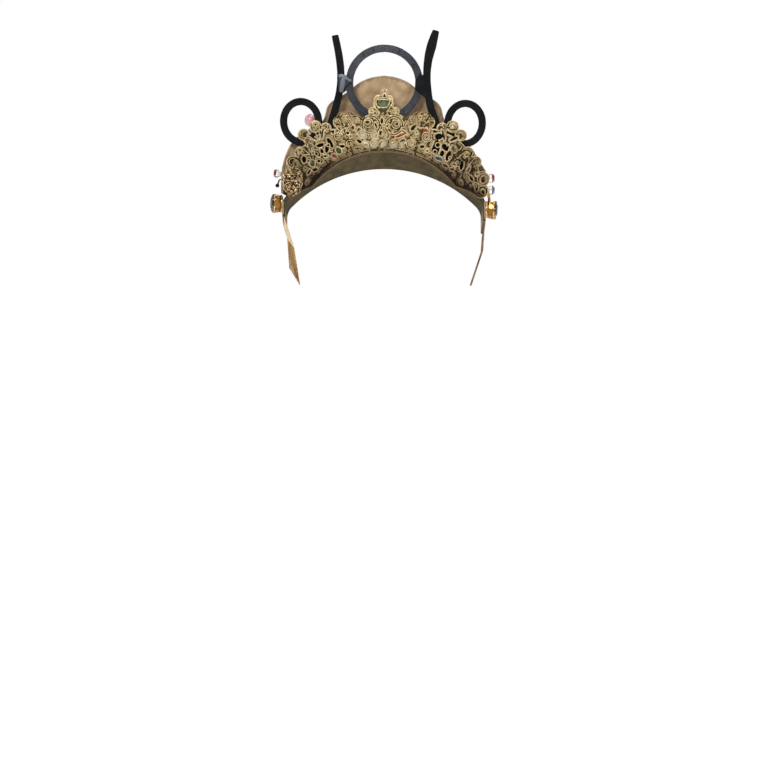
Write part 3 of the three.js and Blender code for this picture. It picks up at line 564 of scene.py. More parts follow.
def smoothRoute(points, closed, parts=3):
    count = len(points)
    made = []
    for i in range(count if closed else count - 1):
        spots = [(i + k) % count if closed else within(0, i + k, count - 1) for k in (-1, 0, 1, 2)]
        made += [curvePoint(*(points[spot] for spot in spots), j / parts) for j in range(parts)]
    return made if closed else made + [points[-1]]


def besideRoute(points, closed, step):
    made = []
    last = len(points) - 1
    for i, point in enumerate(points):
        before = points[i - 1] if closed or i else point
        after = points[(i + 1) % len(points)] if closed or i < last else point
        along = after - before
        made.append(point + Vector((along.z, 0, -along.x)).normalized() * step * mm)
    return made


def tearRoute(headX, headZ, radius, tailX, tailZ, y):
    away = math.atan2(headZ - tailZ, headX - tailX)
    points = [place(tailX, y, tailZ)]
    for share in (-0.62, -0.36, -0.12, 0.12, 0.36, 0.62):
        a = away + share * math.pi
        points.append(place(headX + radius * math.cos(a), y, headZ + radius * math.sin(a)))
    points.append(place(tailX, y, tailZ))
    return smoothRoute(points, False)


def curlRoute(x, y, z, radius, start, turn=0.8, shrink=0.08, count=8):
    points = []
    for i in range(count):
        a = start + turn * i
        r = radius * (1 - shrink * i)
        points.append(place(x + r * math.cos(a), y, z + r * math.sin(a)))
    return points, False


def shifted(points, y):
    return [point + Vector((0, y * mm, 0)) for point in points]


def hemRadius(angle):
    radius, turn, rise = lace["hem"]
    return radius + max(0, abs(angle) - turn) * rise


def aboveHem(point):
    angle, radius = fanOf(point)
    return radius - hemRadius(angle)


def inMesh(x, z):
    corners = laceMesh["corners"]
    ways = []
    for (ax, az), (bx, bz) in zip(corners, corners[1:] + corners[:1]):
        ways.append((bx - ax) * (z - az) - (bz - az) * (x - ax) > 0)
    return ways[0] == ways[1] == ways[2]


def treeOf(routes):
    points = [point for route, closed in routes for point in route]
    tree = KDTree(len(points))
    for i, point in enumerate(points):
        tree.insert(Vector((point.x, 0, point.z)), i)
    tree.balance()
    return tree


def splitRuns(points, kept):
    runs = [[]]
    for point in points:
        if kept(point):
            runs[-1].append(point)
        elif runs[-1]:
            runs.append([])
    return [(run, False) for run in runs if len(run) > 3]


def softEdge(point):  # the lace beside the ring ends in loose threads, with no cord
    inner, outer, low = lace["soft"]
    return inner < abs(point.x) / mm < outer and point.z / mm > low


def shadedMesh(mesh, sideShare=0.0, lowShare=0.4):  # painted shade, darker towards the hem and the ends
    shade = mesh.attributes.new("shade", "FLOAT", "POINT")
    for cell, vert in zip(shade.data, mesh.vertices):
        low = max(0.0, 1 - aboveHem(vert.co) / lace["shadeRise"])
        side = within(0.0, abs(fanOf(vert.co)[0]) / lace["shadeTurn"] - 1, 1.0)
        cell.value = min(1.0, low * (lowShare + lace["shadeLow"] * side) + sideShare * side)
    return mesh


# a lace piece carries the painted shade of its shade attribute
def lacePiece(name, routes, thick, steps, sides, finish, sideShare=0.0, lowShare=0.4):
    mesh = shadedMesh(cordMesh(name, routes, thick, steps, sides), sideShare, lowShare)
    return addPiece(name, mesh, finish, "gold_lace")


def cutGrid(bm, pitch):
    for axis in (0, 2):
        spots = [vert.co[axis] for vert in bm.verts]
        spot = min(spots) + pitch * mm
        while spot < max(spots):
            level, way = Vector(), Vector()
            level[axis], way[axis] = spot, 1
            bmesh.ops.bisect_plane(bm, geom=wholeOf(bm), plane_co=level, plane_no=way)
            spot += pitch * mm


def closeCuts(bm):  # the joins between the pieces of lace are sewn shut
    for vert in bm.verts:
        cut = cutNear(vert.co)
        if cut is not None:
            turn, radius = math.radians(cut), fanOf(vert.co)[1]
            vert.co.x = radius * math.sin(turn) * mm
            vert.co.z = (radius * math.cos(turn) + fan["hubZ"]) * mm


def makeLace():
    ground = bored(copyOf(*lace["nodes"]), [
        (x, lace["middle"], z, long, wide, turn, lace["bore"], corners)
        for rows, corners in ((laceHoles, 20), (stoneGaps, 5)) for x, z, long, wide, turn in rows])
    ground.normal_update()
    rearChains = rimChains(ground, -1)
    frontChains = rimChains(ground, 1)
    net = BVHTree.FromBMesh(ground)

    def onGround(point, margin=0.0):
        spots = ((0, 0), (margin, 0), (-margin, 0), (0, margin), (0, -margin))
        for u, w in spots if margin else spots[:1]:
            start = Vector((point.x + u * mm, -0.1, point.z + w * mm))
            if net.ray_cast(start, Vector((0, 1, 0)))[0] is None:
                return False
        return True

    def onGroundRuns(points, margin):
        return splitRuns(points, lambda point: onGround(point, margin))

    def towardGround(points, closed, step):
        sides = [besideRoute(points, closed, way * 0.5) for way in (1, -1)]
        held = [sum(onGround(point) for point in side) for side in sides]
        return besideRoute(points, closed, step if held[0] >= held[1] else -step)

    closeCuts(ground)
    cutGrid(ground, lace["grid"])
    # the ground carries a strong painted shade towards the hem and the ends
    mesh = shadedMesh(meshOf("laceGround", ground), 0.7, 0.6)
    addPiece("laceGround", mesh, "laceNet", "gold_lace", *lace["nodes"])
    top = lace["rear"]
    overlays = [ringRoute(x, top + 0.3, z, radius, radius, 0, 12) for x, z, radius in laceLoops]
    for x, z, radius in laceRings:
        overlays += onGroundRuns(ringRoute(x, top - 0.3, z, radius, radius, 0, 40)[0], 0.2)
    for row in lacePetals:
        overlays += onGroundRuns(tearRoute(*row, top - 0.3), 0.1)
    edgeTree = treeOf(rearChains)
    overTree = treeOf(overlays)

    def clearOf(tree, point, distance):
        return tree.find(Vector((point.x, 0, point.z)))[2] > distance * mm

    def strandHere(point, step):
        return (onGround(point, 0.3) and clearOf(edgeTree, point, step - 0.25) and clearOf(overTree, point, 0.8)
                and aboveHem(point) > lace["strandFrom"] and not softEdge(point)
                and not inMesh(point.x / mm, point.z / mm))

    cords = []
    strands = []
    for points, closed in rearChains:
        middle = sum(points, Vector()) / len(points)
        fromStone = math.hypot(middle.x / mm - finial["x"], middle.z / mm - finial["z"])
        if closed and (fromStone < 2 or aboveHem(middle) < lace["gapFrom"]):
            continue
        line = shifted(towardGround(points, closed, lace["edge"]), -0.2)
        if closed and len(points) < 400:  # a gap, while the outline is far longer
            cords.append((line, True))
        else:
            cords += splitRuns(line, lambda point: aboveHem(point) > lace["cordFrom"] and not softEdge(point))
        for i in range(lace["strands"]):
            step = lace["offset"] + i * lace["step"]
            line = shifted(towardGround(points, closed, step), -0.15)
            strands += splitRuns(line, lambda point: strandHere(point, step))
    lacePiece("laceCords", cords + overlays, lace["cord"], 1, 1, "laceCord", 0.45, 0.7)
    lacePiece("laceStrands", strands, lace["strand"], 1, 0, "laceFine", 0.5, 0.6)
    behind = [(shifted(points, -0.35), closed) for points, closed in frontChains]
    lacePiece("laceCordsFront", behind, lace["cord"], 1, 0, "laceCord")

    dice = random.Random(11)
    jitter = lace["jitter"]
    curls = []
    taken = treeOf(strands)
    for pitch, soft in ((lace["curlPitch"], False), (lace["softPitch"], True), (lace["softPitch"], False)):
        for row in range(-24, 76):
            for column in range(-50, 51):
                x = (column + 0.5 * (row % 2) + dice.uniform(-jitter, jitter)) * pitch
                z = (row * lace["rise"] + dice.uniform(-jitter, jitter)) * pitch
                radius, start = dice.uniform(*lace["curlRadius"]) * pitch, dice.uniform(0, 6.3)
                spot = place(x, 0, z)
                if softEdge(spot) != soft or inMesh(x, z) or not onGround(spot, 0.2):
                    continue
                away = lace["curlClear"] * pitch
                if all(clearOf(tree, spot, away) for tree in (edgeTree, overTree, taken)):
                    curls.append(curlRoute(x, top - 0.1, z, radius, start))
        taken = treeOf(strands + curls)
    lacePiece("laceCurls", curls, lace["fine"], 2, 0, "laceFine", 0.65, 0.6)

    def meshHere(point):
        return onGround(point, 0.3) and inMesh(point.x / mm, point.z / mm)

    threads = []
    low, high = laceMesh["span"]
    for lean in (laceMesh["lean"], -laceMesh["lean"]):
        for i in range(-24, 40):
            foot = laceMesh["start"] + i * laceMesh["pitch"]
            line = [place(foot + lean * (z - low), top - 0.35, z) for z in spread(low, high, 99)]
            threads += splitRuns(line, meshHere)
    lacePiece("laceMesh", threads, laceMesh["thread"], 1, 0, "laceCord")

    thick, up, over = lace["hemCord"]

    def hemSpot(angle, swing, weave):
        return fanPoint(angle, hemRadius(angle) + up * swing, lace["middle"] + over * weave)

    hem = twisted(spread(-lace["endAngle"], lace["endAngle"], 360), 3, 2.1, hemSpot)
    lacePiece("laceHem", hem, thick, 1, 1, "hemCord")
    print("lace made:", len(cords), "cords,", len(strands), "strands,", len(curls), "curls")


makeLace()


# stones that are set through the plate

stoneKinds = {
    "champagne": ("stoneChampagne", "crystal_champagne"), "red": ("stoneRed", "crystal_red"),
    "blue": ("stoneBlue", "crystal_blue"), "green": ("stoneGreen", "crystal_green"),
}
setStones = [  # node, x, z, radius, stretch, turn, kind
    ("crystal_centre", 0.2, 6.6, 3.4, 1, 0, "champagne"),
    ("crystal_inner_left", -8, 6.6, 3.4, 1, 0, "champagne"),
    ("crystal_inner_right", 8.4, 6.4, 3.4, 1, 0, "champagne"),
    ("crystal_mid_left", -16.2, 6.4, 3.4, 1, 0, "champagne"),
    ("crystal_mid_right", 16.6, 6.6, 3.4, 1, 0, "champagne"),
    ("crystal_outer_left", -24.4, 6.2, 3.4, 1, 0, "champagne"),
    ("crystal_outer_right", 24.8, 6, 3.4, 1, 0, "champagne"),
    ("crystal_upper_left", -19.8, 15.6, 4.2, 1, 0, "champagne"),
    ("crystal_upper_middle", -8.4, 15.2, 3.6, 1, 0, "champagne"),
    ("crystal_upper_right", 0.6, 15.2, 3.4, 1, 0, "champagne"),
    ("red_baguette", 14.2, 14.8, 2, 2.4, 24, "red"),
    ("red_stone_left", -43.6, -5.4, 2.6, 1.2, -10, "red"),
    ("red_stone_inner", 36, 18.6, 3, 1, 0, "red"), ("red_stone_outer", 44, 16.8, 3, 1, 0, "red"),
    ("red_stone_right", 53.6, -11.4, 2.3, 1.15, -35, "red"),
    ("red_stone_low", 60.2, -14.8, 2.4, 1.1, -40, "red"),
    ("blue_stone", 46.8, -6, 2.9, 1.5, -24, "blue"),
    ("green_stone_inner", -39.4, 0.8, 2.8, 1, 0, "green"),
    ("green_stone_left", -62.8, 4.6, 3.2, 1.2, 50, "green"),
    ("green_stone_low", -62, -10.6, 3.2, 1.1, 40, "green"),
    ("green_stone_end", -76.7, -12.1, 2.6, 1, 0, "green"),
    ("green_stone_right", 61.4, 0.9, 3.2, 1.1, -50, "green"),
]
stoneCut = {
    "culet": 4.6, "waist": 6.1, "girdle": 7.8, "seat": 12.35, "table": 14.55, "claws": 6, "wire": 0.34,
    "clawPath": ((1.07, 12.6), (1.04, 13.2), (0.9, 13.75), (0.76, 14.05)),  # share of the radius, y
}


# velvet plate behind the lace, its rolled rim and stitches

plate = {
    "near": 9, "far": 12, "endAngle": 66, "lastAngle": 65.9, "columns": 180, "rows": 34, "cloth": 2.3,
    "footIn": 0.2, "rimIn": 0.4, "lie": 0.25, "swell": 0.35, "swellWidth": 30, "fall": 0.6, "stoneGap": 0.2,
    "rimWidth": 5, "roll": 1.35, "rollAngle": 65.8, "rollIn": -0.9,
    "stitches": 74, "stitchAngle": 64, "thread": 0.18,
    "shade": (  # angle, radius of the painted shade under the lace
        (0, 106), (10, 108), (14, 103), (20, 104), (28, 106), (40, 106), (50, 105), (58, 105), (66, 101)),
}
plateSolid = BVHTree.FromBMesh(bowed(copyOf("backing_plate"), -1))


def plateReach(angle, outer):
    turn = math.radians(within(-plate["lastAngle"], angle, plate["lastAngle"]))
    way = Vector((math.sin(turn), 0, math.cos(turn)))
    depth = (plate["near"] + 0.4) * mm
    hub = Vector((0, depth, fan["hubZ"] * mm))
    start = hub + way * 0.3 if outer else hub
    hit = plateSolid.ray_cast(start, -way if outer else way)
    return (hit[0] - hub).length / mm


def rimPoint(angle, lift=0.0, y=None):
    middle = (plate["near"] + plate["far"]) / 2 if y is None else y
    return fanPoint(angle, plateReach(angle, True) + lift, middle)


def rimNormal(angle):
    along = rimPoint(angle + 0.5) - rimPoint(angle - 0.5)
    return Vector((-along.z, 0, along.x)).normalized()


def shadeRadius(angle):
    turn = min(plate["lastAngle"], abs(angle))
    for (lowAngle, low), (highAngle, high) in zip(plate["shade"], plate["shade"][1:]):
        if turn <= highAngle:
            return mix(low, high, (turn - lowAngle) / (highAngle - lowAngle))


def makePlate():
    bm = bmesh.new()
    bmesh.ops.create_grid(bm, x_segments=plate["columns"], y_segments=plate["rows"], size=1)
    for vert in bm.verts:
        angle = vert.co.x * plate["endAngle"]
        foot, rim = plateReach(angle, False), plateReach(angle, True)
        radius = mix(foot + plate["footIn"], rim - plate["rimIn"], (vert.co.y + 1) / 2)
        edge = max(0.0, 1 - (rim - radius) / plate["rimWidth"])
        swell = plate["swell"] * math.sin(math.pi * min(1, (rim - radius) / plate["swellWidth"])) * (1 - edge)
        vert.co = fanPoint(angle, radius, plate["near"] + plate["lie"] - swell + plate["fall"] * edge * edge)
    thicken(bm, plate["cloth"])
    gap = plate["stoneGap"]
    bm = bored(bm, [
        (x, plate["near"], z, (radius + gap) * stretch, radius + gap, turn, 16, 20)
        for node, x, z, radius, stretch, turn, kind in setStones])
    # painted shade: the face of the plate is painted dark brown where it lies under the lace
    dark = bm.verts.layers.float.new("rim")
    for vert in bm.verts:
        angle, radius = fanOf(vert.co)
        behind = vert.co.y / mm - bowAt(vert.co.x / mm) < plate["near"] + 1.2
        vert[dark] = behind * within(0.0, (shadeRadius(angle) - radius) / 4, 1.0)
    meshPiece("velvetPlate", bm, "velvetTan", "velvet_tan", "backing_plate")
    roll = [rimPoint(angle, plate["rollIn"]) for angle in spread(-plate["rollAngle"], plate["rollAngle"], 260)]
    # the roll is a darker copy of the tan velvet, a painted shade
    cordPiece("plateRoll", [(roll, False)], plate["roll"], 1, 3, "velvetRim", "velvet_tan")
    near, far = plate["near"], plate["far"]
    threads = []
    dice = random.Random(3)
    for spot in spread(-plate["stitchAngle"], plate["stitchAngle"], plate["stitches"] - 1):
        angle = spot + dice.uniform(-0.25, 0.25)
        deep = dice.uniform(-4, -2.6)
        path = (  # angle, lift, y of a thread that goes round the rim
            (0, deep, near - 0.1), (0.3, -2, near - 0.2), (0.6, -0.3, near + 0.1), (0.8, 0.5, near + 1.6),
            (0.6, -0.3, far + 0.05), (0.3, -3.2, far - 0.15))
        threads.append(([rimPoint(angle + turn, lift, y) for turn, lift, y in path], False))
    cordPiece("plateStitches", threads, plate["thread"], 2, 1, "stitchThread", "velvet_tan")
    print("plate made")


makePlate()


# arched band with piped edges

band = {
    "thickness": 3, "taperAngle": 112, "legScale": 57.3, "ends": (-99.5, 103.5), "columns": 220, "rows": 12,
    "rear": (0, 104, 53.6, 8, 0, 4),  # crest, crown radius and angle, shoulder radius, depth and end depth
    "front": (-14, 111, 46.1, 14.4, 22, 18),
    "cloth": -2.5, "lie": 0.2, "crown": 0.25, "pale": (84, 16),  # painted light, paler from an angle, over an angle
    "inset": 0.03, "piping": 1.25, "pipeInset": 0.035, "pipeHeight": 1.5,
    "stitches": 110, "stitchInset": 0.16, "thread": 0.15,
    "edging": 0.62, "edgingFrom": 78, "edgingTo": 0.985,
    "edgingSwing": (-0.025, 0.016), "edgingWeave": (-0.8, 0.5),  # middle and swing, across and up
}


def bandPoint(angle, across, height):
    crest, crownRadius, crownAngle, shoulderRadius, depth, endDepth = (
        mix(a, b, across) for a, b in zip(band["rear"], band["front"]))
    turn = abs(math.radians(angle))
    bent = min(turn, math.pi / 2)
    bend = math.radians(crownAngle)
    slide = 0 if turn <= bend else crownRadius - shoulderRadius
    arm = (crownRadius if turn <= bend else shoulderRadius) + height
    x = slide * math.sin(bend) + arm * math.sin(bent)
    leg = (turn - bent) * band["legScale"]
    z = crest - crownRadius + slide * math.cos(bend) + arm * math.cos(bent) - leg
    y = mix(depth, endDepth, (turn / math.radians(band["taperAngle"])) ** 2)
    return place(math.copysign(x, angle), y, z)


def makeBand():
    bm = bmesh.new()
    bmesh.ops.create_grid(bm, x_segments=band["columns"], y_segments=band["rows"], size=1)
    pale = bm.verts.layers.float.new("rim")
    first, last = band["ends"]
    inset = band["inset"]
    paleFrom, paleOver = band["pale"]
    for vert in bm.verts:
        angle = mix(first, last, (vert.co.x + 1) / 2)
        across = (vert.co.y + 1) / 2
        # painted light: the band is painted paler towards its ends
        vert[pale] = within(0.0, (abs(angle) - paleFrom) / paleOver, 1.0)
        crown = band["crown"] * math.sin(math.pi * across)
        vert.co = bandPoint(angle, mix(inset, 1 - inset, across), band["lie"] + crown)
    thicken(bm, band["cloth"])
    meshPiece("velvetBand", bm, "velvetGrey", "velvet_grey", "head_band")
    height = band["pipeHeight"]
    pipes = []
    angles = spread(first + 0.6, last - 0.6, 180)
    for across in (band["pipeInset"], 1 - band["pipeInset"]):
        pipes.append(([bandPoint(angle, across, height) for angle in angles], False))
    for end in (first + 0.7, last - 0.7):
        pipes.append(([bandPoint(end, across, height) for across in spread(inset, 1 - inset, 12)], False))
    cordPiece("bandPiping", pipes, band["piping"], 1, 2, "velvetGrey", "velvet_grey")
    threads = []
    for angle in spread(first + 2, last - 2, band["stitches"] - 1):
        for across in (band["stitchInset"], 1 - band["stitchInset"]):
            path = ((-0.45, 0.12), (-0.2, -0.06), (0.2, -0.06), (0.45, 0.12))  # angle, height
            threads.append(([bandPoint(angle + turn, across, lift) for turn, lift in path], False))
    cordPiece("bandStitches", threads, band["thread"], 1, 1, "bandThread", "velvet_grey")
    middle, wide = band["edgingSwing"]
    drop, high = band["edgingWeave"]

    def edgingSpot(angle, swing, weave):
        return bandPoint(angle, middle + wide * swing, band["thickness"] + drop + high * weave)

    edging = []
    for end in band["ends"]:
        start = math.copysign(band["edgingFrom"], end)
        edging += twisted(spread(start, end * band["edgingTo"], 60), 2, math.pi, edgingSpot)
    cordPiece("bandEdging", edging, band["edging"], 1, 1, "stitchThread", "gold_lace")
    print("band made")


makeBand()


# ring, loops and uprights of ribbon-wound wire

wire = {"near": 0, "far": 2.6, "corner": 0.9, "steps": 216}
ring = {
    "x": 0.3, "z": 59.7, "halfWidth": 33.4, "halfHeight": 33.4, "width": 6.2, "wraps": 13,
    "seams": (-36.3, -18.5, 24.6, 58, 128, 146, 163, 214, 236), "seam": 0.2,
    "seamPath": ((27.3, 1.3), (27.3, 0.1), (30.3, -0.06), (33.3, 0.1), (33.35, 1.3)),  # radius, y
    "seamLean": 0.035, "seamMiddle": 30.3, "seamHalf": 3,
}
loops = {
    "loop_left": {"x": -71.7, "z": 25.1, "halfWidth": 18, "halfHeight": 20.5, "width": 5.9, "wraps": 9},
    "loop_right": {"x": 70.1, "z": 23.6, "halfWidth": 17.8, "halfHeight": 20.4, "width": 5.9, "wraps": 9},
}


def woundRing(name, size, ridge, finish, slot, node):
    width = size["width"]
    midX, midZ = size["halfWidth"] - width / 2, size["halfHeight"] - width / 2
    depth = wire["far"] - wire["near"]
    profile = roundedProfile(width + 0.4, depth - 0.2, wire["corner"], 4)
    spots = []
    for i in range(wire["steps"] + 1):
        a = 2 * math.pi * i / wire["steps"]
        out = Vector((midZ * math.sin(a), 0, midX * math.cos(a))).normalized()
        share = (i * size["wraps"] / wire["steps"]) % 1
        grow = 1 + ridge * (share - 0.5)
        spots.append(Matrix.Scale(mm, 4) @ Matrix((
            (out.x * grow, 0, out.z, size["x"] + midX * math.sin(a)),
            (0, grow, 0, depth / 2),
            (out.z * grow, 0, -out.x, size["z"] + midZ * math.cos(a)),
            (0, 0, 0, 1))))
    bm = bmesh.new()
    sweep(bm, profile, spots, True)
    across = bm.verts.layers.float.new("across")
    for vert in bm.verts:
        x, z = vert.co.x / mm - size["x"], vert.co.z / mm - size["z"]
        vert[across] = (math.hypot(x / midX, z / midZ) - 1) * midX / width + 0.5
    return meshPiece(name, bowed(bm), finish, slot, node)


def ringSeams():
    routes = []
    for angle in ring["seams"]:
        points = []
        for radius, y in ring["seamPath"]:
            a = math.radians(angle) + ring["seamLean"] * (radius - ring["seamMiddle"]) / ring["seamHalf"]
            points.append(place(ring["x"] + radius * math.sin(a), y, ring["z"] + radius * math.cos(a)))
        routes.append((points, False))
    cordPiece("ringSeams", routes, ring["seam"], 3, 1, "ribbonBlack", "satin_grey")


uprights = {  # x, z, width along each
    "upright_left": (
        (-42.6, 101, 5.6), (-39.2, 84, 6), (-37.5, 68, 6), (-38.5, 53, 5.8), (-42.2, 37, 6),
        (-47.2, 20, 6), (-52.5, -4, 6)),
    "upright_right": (
        (45.2, 105, 5.4), (41.4, 92, 7.8), (38.2, 78, 6.8), (37.4, 62, 6), (40, 41, 6),
        (46, 21, 6), (51.5, -4, 6)),
}
uprightCut = {
    "profile": (1.07, 0.92, 0.24), "steps": 90, "nudge": 0.004, "tip": 0.72, "taper": 3.2, "ridge": 0.022,
    "turn": 9,  # steps in one turn of the ribbon
}


def alongStations(stations, share):
    last = len(stations) - 1
    i = min(int(share * last), last - 1)
    rows = [stations[within(0, i + k, last)] for k in (-1, 0, 1, 2)]
    return [curvePoint(*row, share * last - i) for row in zip(*rows)]


def stationSpots(stations, steps, nudge, shapeAt):
    spots = []
    for i in range(steps + 1):
        share = i / steps
        x, z, width = alongStations(stations, share)
        before, after = (
            Vector(alongStations(stations, within(0, share + step, 1))[:2]) for step in (-nudge, nudge))
        ahead = (after - before).normalized()
        wide, deep, y = shapeAt(i, share, width)
        spots.append(Matrix.Scale(mm, 4) @ Matrix((
            (ahead.y * wide, 0, ahead.x, x), (0, deep, 0, y), (-ahead.x * wide, 0, ahead.y, z), (0, 0, 0, 1))))
    return spots


def sweptStrip(profile, spots, shift):
    bm = bmesh.new()
    across = bm.verts.layers.float.new("across")
    sweep(bm, profile, spots)
    for i, vert in enumerate(bm.verts):
        vert[across] = profile[i % len(profile)].x + shift
    return bowed(bm)


def makeUpright(node, stations):

    def woundShape(i, share, width):  # narrower at both ends, and stepped where the ribbon winds
        end = min(1, uprightCut["tip"] + uprightCut["taper"] * math.sqrt(min(share, 1 - share)))
        wind = 1 + uprightCut["ridge"] * ((i / uprightCut["turn"]) % 1 - 0.5)
        return width * end * wind, wire["far"] * end, wire["far"] / 2

    spots = stationSpots(stations, uprightCut["steps"], uprightCut["nudge"], woundShape)
    strip = sweptStrip(roundedProfile(*uprightCut["profile"]), spots, 0.5)
    meshPiece(node.replace("_", ""), strip, "ribbonBlack", "black_ribbon", node)


woundRing("satinRing", ring, 0.03, "satinGrey", "satin_grey", "centre_ring")
ringSeams()
for loopName, loopSize in loops.items():
    woundRing(loopName.replace("_", ""), loopSize, 0.02, "ribbonBlack", "black_ribbon", loopName)
for uprightName, uprightStations in uprights.items():
    makeUpright(uprightName, uprightStations)
print("ring, loops and uprights made")


# windings that bind the ring to the uprights: a bound sleeve, and tapes knotted over the left one

wraps = {
    "ring_wrap_left": {
        "finish": "satinGrey", "slot": "satin_grey", "outline": (  # x, z
            (-39.4, 66.6), (-37.5, 67.4), (-33.9, 66.6), (-30.6, 64.6), (-28.1, 61.8), (-28.5, 57.5),
            (-30.8, 54.6), (-33.5, 52.4), (-35.7, 50.8), (-38, 51.2), (-39.5, 51.8))},
    "ring_wrap_right": {
        "finish": "ribbonBlack", "slot": "black_ribbon", "outline": (
            (27.2, 62.4), (28.1, 63.4), (32, 68.6), (33.2, 66.2), (35, 67.6), (39.8, 67.4), (40, 60), (41, 50),
            (35.5, 47), (32.3, 49.2), (26.8, 53.8))},
}
wrapCut = {"out": 0.55, "bevel": 0.6, "ribLean": 0.2, "ribPitch": 8}
knot = {
    "tapes": (  # x, z, width along each
        ((-34.6, 66.4, 2.6), (-35.2, 63, 3.2), (-36.2, 58, 3.7), (-36.9, 53.5, 3.3), (-37.2, 51.2, 2.6)),
        ((-39.2, 65, 2.4), (-37.6, 65.8, 2.8), (-34.8, 65.4, 2.6), (-32, 62.9, 2.2), (-28.5, 61.3, 2))),
    "profile": (1, 0.5, 0.24, 2), "steps": 30, "nudge": 0.01,
    "out": 0.6, "layer": 0.35, "tuck": 0.5,  # how far out a tape lies, and how its ends tuck in
    "crease": ((-28.3, 60), (-31.6, 57.9), (-34, 54.9), (-35, 52)), "creaseWire": 0.55,
}


def makeWrap(node, wrap):
    bm = bmesh.new()
    rear = wire["near"] - wrapCut["out"]
    face = bm.faces.new([bm.verts.new(Vector((x, rear, z)) * mm) for x, z in wrap["outline"]])
    made = bmesh.ops.extrude_face_region(bm, geom=[face])["geom"]
    back = [g for g in made if isinstance(g, bmesh.types.BMVert)]
    bmesh.ops.translate(bm, verts=back, vec=(0, (wire["far"] + 2 * wrapCut["out"]) * mm, 0))
    bmesh.ops.recalc_face_normals(bm, faces=bm.faces)
    bmesh.ops.bevel(
        bm, geom=bm.edges[:], offset=wrapCut["bevel"] * mm, offset_type="OFFSET", segments=3, profile=0.5,
        affect="EDGES", material=-1)
    across = bm.verts.layers.float.new("across")
    for vert in bm.verts:
        vert[across] = (vert.co.z + wrapCut["ribLean"] * vert.co.x) / (wrapCut["ribPitch"] * mm)
    meshPiece(node.replace("_", ""), bowed(bm), wrap["finish"], wrap["slot"], node)


def unmarked(mesh):  # a ribbon finish without ribs
    mesh.attributes.new("across", "FLOAT", "POINT")
    return mesh


def makeKnot():
    bm = bmesh.new()
    for number, stations in enumerate(knot["tapes"]):

        def tapeShape(i, share, width):
            y = wire["near"] - knot["out"] - knot["layer"] * number
            return width, 1, y + knot["tuck"] * abs(2 * share - 1) ** 4

        spots = stationSpots(stations, knot["steps"], knot["nudge"], tapeShape)
        strip = sweptStrip(roundedProfile(*knot["profile"]), spots, 0)
        part = bpy.data.meshes.new("tape")
        strip.to_mesh(part)
        strip.free()
        bm.from_mesh(part)
        bpy.data.meshes.remove(part)
    meshPiece("knotTapes", bm, "satinKnot", "satin_grey")
    crease = [place(x, wire["near"] - wrapCut["out"], z) for x, z in knot["crease"]]
    mesh = cordMesh("knotCrease", [(crease, False)], knot["creaseWire"], 6, 2)
    addPiece("knotCrease", unmarked(mesh), "ribbonBlack", "satin_grey")


for wrapNode, wrapRow in wraps.items():
    makeWrap(wrapNode, wrapRow)
makeKnot()
print("windings made")


# cut stones

def stonePiece(name, bm, seed, finish, slot, *replaced):
    bmesh.ops.dissolve_limit(bm, angle_limit=math.radians(1), verts=bm.verts, edges=bm.edges)
    bmesh.ops.recalc_face_normals(bm, faces=bm.faces)
    dice = random.Random(seed)
    mesh = bpy.data.meshes.new(name)
    bm.to_mesh(mesh)
    bm.free()
    facetToneAndShading = mesh.attributes.new("facetToneAndShading", "FLOAT", "FACE")
    for cell in facetToneAndShading.data:
        cell.value = dice.random()
    return addPiece(name, mesh, finish, slot, *replaced)


def stoneHull(rings):  # radius, y, corners, shift of each ring
    bm = bmesh.new()
    verts = []
    for radius, y, count, shift in rings:
        for i in range(count):
            a = 2 * math.pi * (i + shift) / count
            verts.append(bm.verts.new((radius * math.cos(a), y, radius * math.sin(a))))
    bmesh.ops.convex_hull(bm, input=verts)
    return bm


def placed(bm, x, z):
    for vert in bm.verts:
        vert.co = place(x + vert.co.x, vert.co.y, z + vert.co.z)
    return bm


def makeStones():
    cups = []
    seat, girdle = stoneCut["seat"], stoneCut["girdle"]
    for seed, (node, x, z, radius, stretch, turn, kind) in enumerate(setStones):
        bm = stoneHull((
            (0.3 * radius, stoneCut["culet"], 8, 0), (0.74 * radius, stoneCut["waist"], 8, 0.5),
            (radius - 0.1, girdle, 16, 0), (radius - 0.1, seat + 0.5, 16, 0),
            (0.86 * radius, seat + 1.3, 8, 0.5), (0.6 * radius, stoneCut["table"], 8, 0)))
        shape = Matrix.Rotation(-math.radians(turn), 4, "Y") @ Matrix.Diagonal((stretch, 1, 1, 1))
        bmesh.ops.transform(bm, matrix=shape, verts=bm.verts)
        stonePiece(node.replace("_", ""), placed(bm, x, z), seed, *stoneKinds[kind], node)
        for y, grow in ((girdle + 0.1, 0.12), (seat + 0.45, 0.2)):
            cups.append(ringRoute(x, y, z, (radius + grow) * stretch, radius + grow, turn, 14))
        for i in range(stoneCut["claws"]):
            a = 2 * math.pi * (i + 0.5) / stoneCut["claws"]
            points = []
            for share, y in stoneCut["clawPath"]:
                u, w = turned(share * radius * stretch * math.cos(a), share * radius * math.sin(a), turn)
                points.append(place(x + u, y, z + w))
            cups.append((points, False))
    cordPiece("giltCups", cups, stoneCut["wire"], 2, 1, "giltMetal", "gilt_metal")


